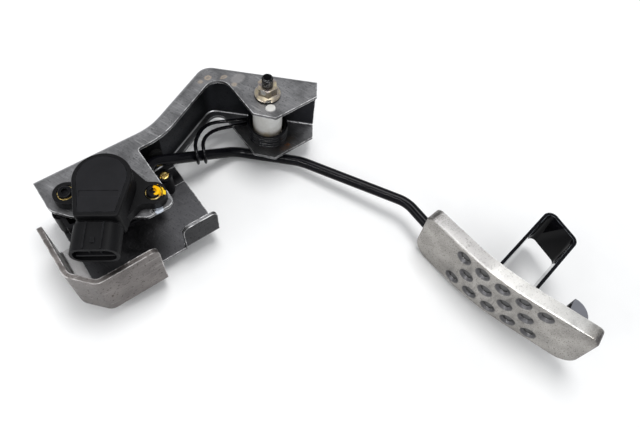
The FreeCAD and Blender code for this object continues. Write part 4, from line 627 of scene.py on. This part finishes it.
def springPath(spring):
    # the hook over the rod, the straight arm, the coil and the leg along the web
    shape = springShape
    legAngle = shape["webAngle"] + shape["legLean"]
    turn = spring["angle"] - legAngle - 180 + 360 * shape["turns"]
    corners = round(turn / 360 * shape["cornersPerTurn"])
    step = turn / corners
    level = shape["firstLevel"] + spring["order"] * shape["spacing"]
    start = turnedBy(0, shape["mean"], spring["angle"] - 180) + Vector((0, 0, level))
    elbow = start + turnedBy(1, 0, spring["angle"]) * spring["arm"] + Vector((0, 0, shape["armRise"]))
    over = Vector(spring["over"])
    end = Vector((over.x, over.y, spring["end"]))
    path = [end, end + Vector((0, 0, shape["tipLength"])), over, Vector(spring["back"]), elbow,
            elbow.lerp(start, shape["elbowReach"]), start.lerp(elbow, shape["startReach"])]
    cornerReach = shape["mean"] / math.cos(math.radians(step / 2))
    rise = shape["pitch"] * turn / 360
    for i in range(corners):
        corner = turnedBy(cornerReach, 0, spring["angle"] - 90 - step * (i + 0.5))
        path.append(corner + Vector((0, 0, level + rise * i / (corners - 1) * shape["riseShare"])))
    foot = turnedBy(0, shape["mean"], legAngle) + Vector((0, 0, path[-1].z))
    return path + [foot + turnedBy(1, 0, legAngle) * distance for distance in shape["leg"]]


def makeSpring(name, spring):
    bpy.ops.curve.primitive_nurbs_path_add()
    wire = bpy.context.object
    wire.name = "spring_" + name
    wire.data.splines.clear()
    path = springPath(spring)
    line = wire.data.splines.new("NURBS")
    line.points.add(len(path) - 1)
    for point, place in zip(line.points, path):
        point.co = (*(place * millimetre + pivotPlace), 1)
    line.points[0].radius = springShape["tipRadius"]
    line.order_u = springShape["curveOrder"]
    line.use_endpoint_u = True
    line.resolution_u = springShape["curveSteps"]
    wire.data.resolution_u = springShape["curveSteps"]
    wire.data.dimensions = "3D"
    wire.data.bevel_depth = springShape["wire"] / 2 * millimetre
    wire.data.bevel_resolution = springShape["sides"] // 4
    wire.data.use_fill_caps = True
    bpy.ops.object.convert(target="MESH")
    bpy.ops.object.shade_smooth_by_angle(angle=math.radians(springShape["smoothAngle"]))
    wire.data.materials.append(finishes["spring_steel"])
    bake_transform(wire)
    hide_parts("return_spring_" + name)
    bpy.ops.object.select_all(action="DESELECT")


for name, spring in springs.items():
    makeSpring(name, spring)
print("return springs wound")


# Screw thread on the stud

studThread = {"radius": 3.92, "depth": 0.26, "pitch": 1.25, "turns": 4, "steps": 28, "start": 51.75}


def makeStudThread():
    # a small triangle wound up the stud
    shape = studThread
    beside = (shape["radius"] * millimetre, 0, 0)
    bpy.ops.mesh.primitive_circle_add(vertices=3, radius=shape["depth"] * millimetre, fill_type="NOTHING",
                                      location=beside, rotation=(math.radians(90), 0, 0))
    thread = bpy.context.object
    thread.name = "stud_thread"
    bpy.ops.object.mode_set(mode="EDIT")
    bpy.ops.transform.rotate(value=math.radians(90), orient_axis="Y", center_override=beside)
    bpy.ops.object.mode_set(mode="OBJECT")
    bpy.ops.object.transform_apply(location=True, rotation=True, scale=True)
    winding = thread.modifiers.new("winding", "SCREW")
    winding.axis = "Z"
    winding.screw_offset = shape["pitch"] * millimetre
    winding.iterations = shape["turns"]
    winding.steps = shape["steps"]
    winding.render_steps = shape["steps"]
    bpy.ops.object.modifier_apply(modifier="winding")
    bpy.ops.object.mode_set(mode="EDIT")
    bpy.ops.mesh.select_all(action="DESELECT")
    bpy.ops.mesh.select_mode(type="EDGE")
    bpy.ops.mesh.select_non_manifold()
    bpy.ops.mesh.fill()  # closes the two ends
    bpy.ops.mesh.select_all(action="SELECT")
    bpy.ops.mesh.normals_make_consistent(inside=False)
    bpy.ops.object.mode_set(mode="OBJECT")
    thread.location = (pivotPlace.x, pivotPlace.y, shape["start"] * millimetre)
    bpy.ops.object.transform_apply(location=True)
    thread.data.materials.append(finishes["shaft_steel"])
    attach(thread, "bracket")
    bpy.ops.object.select_all(action="DESELECT")


makeStudThread()
print("stud thread cut")


# Contact tongue inside the sensor's socket

socketTongue = {
    "origin": (-2.7, -38.8, 41.0), "turn": -33.5, "left": -13.6, "right": 8.8, "back": -31.6, "front": -43.4,
    "low": 7.2, "high": 8.5, "ribs": (-5.7, 0.9), "ribThickness": 1.1, "ribTop": 15.4, "ribFront": -42.0,
    "ribSink": 0.3, "bevel": 0.35, "bevelSteps": 2,
}


def joinPieces(pieces):
    bpy.ops.object.select_all(action="DESELECT")
    for piece in pieces:
        piece.select_set(True)
    bpy.context.view_layer.objects.active = pieces[0]
    bpy.ops.object.join()
    return bpy.context.object


def addBlock(low, high):
    middle = [(a + b) / 2 * millimetre for a, b in zip(low, high)]
    bpy.ops.mesh.primitive_cube_add(size=1, location=middle)
    block = bpy.context.object
    block.scale = [abs(b - a) * millimetre for a, b in zip(low, high)]
    bpy.ops.object.transform_apply(location=True, rotation=False, scale=True)
    return block


def makeSocketTongue():
    shape = socketTongue
    blocks = [addBlock((shape["left"], shape["front"], shape["low"]),
                       (shape["right"], shape["back"], shape["high"]))]
    half = shape["ribThickness"] / 2
    for middle in shape["ribs"]:
        blocks.append(addBlock((middle - half, shape["ribFront"], shape["high"] - shape["ribSink"]),
                               (middle + half, shape["back"], shape["ribTop"])))
    tongue = joinPieces(blocks)
    tongue.name = "socket_tongue"
    rounding = tongue.modifiers.new("rounding", "BEVEL")
    rounding.width = shape["bevel"] * millimetre
    rounding.segments = shape["bevelSteps"]
    bpy.ops.object.modifier_apply(modifier="rounding")
    tongue.rotation_euler = (0, 0, math.radians(shape["turn"]))
    tongue.location = inMetres(shape["origin"])
    bpy.ops.object.transform_apply(location=True, rotation=True, scale=True)
    tongue.data.materials.append(finishes["cover_plastic"])
    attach(tongue, "bracket")
    bpy.ops.object.select_all(action="DESELECT")


makeSocketTongue()
print("socket tongue made")


# Pedal pad with a dish round each grip hole

def makeDishCutter():
    # a stepped plug of rings, its axis along Z and level 0 on the face
    level, radius = padDish["rings"][0]
    bpy.ops.mesh.primitive_circle_add(vertices=padDish["corners"], radius=radius * millimetre,
                                      fill_type="NGON", location=(0, 0, level * millimetre))
    cutter = bpy.context.object
    cutter.name = "dishCutter"
    bpy.ops.object.transform_apply(location=True)
    bpy.ops.object.mode_set(mode="EDIT")
    for below, above in zip(padDish["rings"], padDish["rings"][1:]):
        step = (0, 0, (above[0] - below[0]) * millimetre)
        bpy.ops.mesh.extrude_region_move(TRANSFORM_OT_translate={"value": step})
        grow = above[1] / below[1]
        bpy.ops.transform.resize(value=(grow, grow, 1), center_override=(0, 0, above[0] * millimetre))
    bpy.ops.mesh.select_all(action="SELECT")
    bpy.ops.mesh.normals_make_consistent(inside=False)
    bpy.ops.object.mode_set(mode="OBJECT")
    return cutter


def placeCutters():
    # one copy of the plug in each grip hole, all joined
    first = makeDishCutter()
    cutters = []
    for distance, height in dishSpots():
        out = padFace(distance)[1]
        turn = Vector((out.x, out.y, 0)).to_track_quat("Z", "Y").to_matrix().to_4x4()
        cutter = first.copy()
        cutter.data = first.data.copy()
        bpy.context.scene.collection.objects.link(cutter)
        cutter.matrix_world = Matrix.Translation(onPad(distance, height) * millimetre) @ turn
        cutters.append(cutter)
    bpy.data.objects.remove(first)
    return joinPieces(cutters)


def makePedalPad():
    cutter = placeCutters()
    skin = nodes["pedal_pad"].copy()
    skin.data = nodes["pedal_pad"].data.copy()
    skin.parent = None
    skin.name = "pad_face"
    bpy.context.scene.collection.objects.link(skin)
    bpy.ops.object.select_all(action="DESELECT")
    skin.select_set(True)
    bpy.context.view_layer.objects.active = skin
    bpy.ops.object.mode_set(mode="EDIT")
    bpy.ops.mesh.select_all(action="SELECT")
    bpy.ops.mesh.remove_doubles(threshold=padDish["mergeReach"] * millimetre)
    bpy.ops.object.mode_set(mode="OBJECT")
    dishes = skin.modifiers.new("dishes", "BOOLEAN")
    dishes.operation = "DIFFERENCE"
    dishes.solver = "EXACT"
    dishes.object = cutter
    bpy.ops.object.modifier_apply(modifier="dishes")
    bpy.data.objects.remove(cutter)
    bpy.ops.object.shade_smooth_by_angle(angle=math.radians(padDish["smoothAngle"]))
    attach(skin, "pedal")
    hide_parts("pedal_pad")
    bpy.ops.object.select_all(action="DESELECT")
    print("pad face has", len(skin.data.polygons), "faces")


makePedalPad()


# Floor, light and camera

studio = {
    "floorTint": (0.93, 0.93, 0.93), "floorLight": (0.96, 0.96, 0.96), "floorRough": 0.6,
    "speckleScale": 30.0, "speckleRange": (0.3, 0.7),
    "floorSlope": (-0.0609, 0.1024), "floorLevel": -0.012885, "floorReach": 4.0,
    "worldTint": (0.97, 0.985, 1.0), "worldPower": 0.64, "aim": (0.1, -0.12, 0),
    "keyPower": 14.5, "keySize": 0.75, "keyPlace": (0.42, 0.1, 1.65),
    "sidePower": 5.0, "sideSize": 0.8, "sidePlace": (-1.2, 0.05, 0.75),
    "glintPower": 6.5, "glintLength": 0.9, "glintWidth": 0.018, "glintPlace": (-0.2, -0.5, 0.8),
}
cameraView = {
    "place": (-0.0304, -0.2529, 0.3620), "right": (0.80042, -0.59444, 0.07738),
    "down": (-0.48737, -0.72050, -0.49332), "forward": (0.34900, 0.35703, -0.86640),
    "focalPixels": 582.2, "pictureWidth": 640, "filmWidth": 36, "nearest": 0.01,
}


def makeFloor():
    bpy.ops.mesh.primitive_grid_add(x_subdivisions=4, y_subdivisions=4, size=2 * studio["floorReach"])
    floor = bpy.context.object
    floor.name = "floor"
    slopeX, slopeY = studio["floorSlope"]
    for vertex in floor.data.vertices:
        vertex.co.z = slopeX * vertex.co.x + slopeY * vertex.co.y + studio["floorLevel"]
    paper, tree, shader, place = newMaterial("paleFloor")
    spots = noise(tree, place, studio["speckleScale"], detail=2.0, rough=0.5)
    speckle = ramp(tree, spots, *studio["speckleRange"])
    tint = blendColor(tree, speckle, studio["floorTint"], studio["floorLight"])
    tree.links.new(tint, shader.inputs["Base Color"])
    shader.inputs["Roughness"].default_value = studio["floorRough"]
    floor.data.materials.append(paper)
    bpy.ops.object.select_all(action="DESELECT")


def makeWorld():
    world = bpy.data.worlds.new("studioWorld")
    bpy.context.scene.world = world
    world.use_nodes = True
    background = world.node_tree.nodes["Background"]
    background.inputs["Color"].default_value = asColor(studio["worldTint"])
    background.inputs["Strength"].default_value = studio["worldPower"]


def addSoftLight(name):
    # a round lamp that looks at the middle of the pedal
    data = bpy.data.lights.new(name + "Light", "AREA")
    data.shape = "DISK"
    data.size = studio[name + "Size"]
    data.energy = studio[name + "Power"]
    light = bpy.data.objects.new(name + "Light", data)
    light.location = studio[name + "Place"]
    light.rotation_euler = (Vector(studio["aim"]) - light.location).to_track_quat("-Z", "Y").to_euler()
    bpy.context.scene.collection.objects.link(light)


def addGlintStrip():
    # a long thin lamp, level with the picture, that only shows as a line of light on gloss paint
    data = bpy.data.lights.new("glintStrip", "AREA")
    data.shape = "RECTANGLE"
    data.size = studio["glintLength"]
    data.size_y = studio["glintWidth"]
    data.energy = studio["glintPower"]
    strip = bpy.data.objects.new("glintStrip", data)
    away = (Vector(studio["glintPlace"]) - Vector(studio["aim"])).normalized()
    across = away.cross(Vector(cameraView["right"])).normalized()
    turn = Matrix((across.cross(away), across, away)).transposed()
    strip.matrix_world = Matrix.Translation(studio["glintPlace"]) @ turn.to_4x4()
    strip.visible_diffuse = False
    bpy.context.scene.collection.objects.link(strip)


def addCamera():
    lens = bpy.data.cameras.new("photoCamera")
    lens.sensor_fit = "HORIZONTAL"
    lens.sensor_width = cameraView["filmWidth"]
    lens.lens = cameraView["focalPixels"] / cameraView["pictureWidth"] * cameraView["filmWidth"]
    lens.clip_start = cameraView["nearest"]
    camera = bpy.data.objects.new("photoCamera", lens)
    axes = (cameraView["right"], -Vector(cameraView["down"]), -Vector(cameraView["forward"]))
    camera.matrix_world = Matrix.Translation(cameraView["place"]) @ Matrix(axes).transposed().to_4x4()
    bpy.context.scene.collection.objects.link(camera)
    bpy.context.scene.camera = camera


makeFloor()
makeWorld()
addSoftLight("key")
addSoftLight("side")
addGlintStrip()
addCamera()
bpy.context.scene.view_settings.view_transform = "Standard"
print("studio set up")
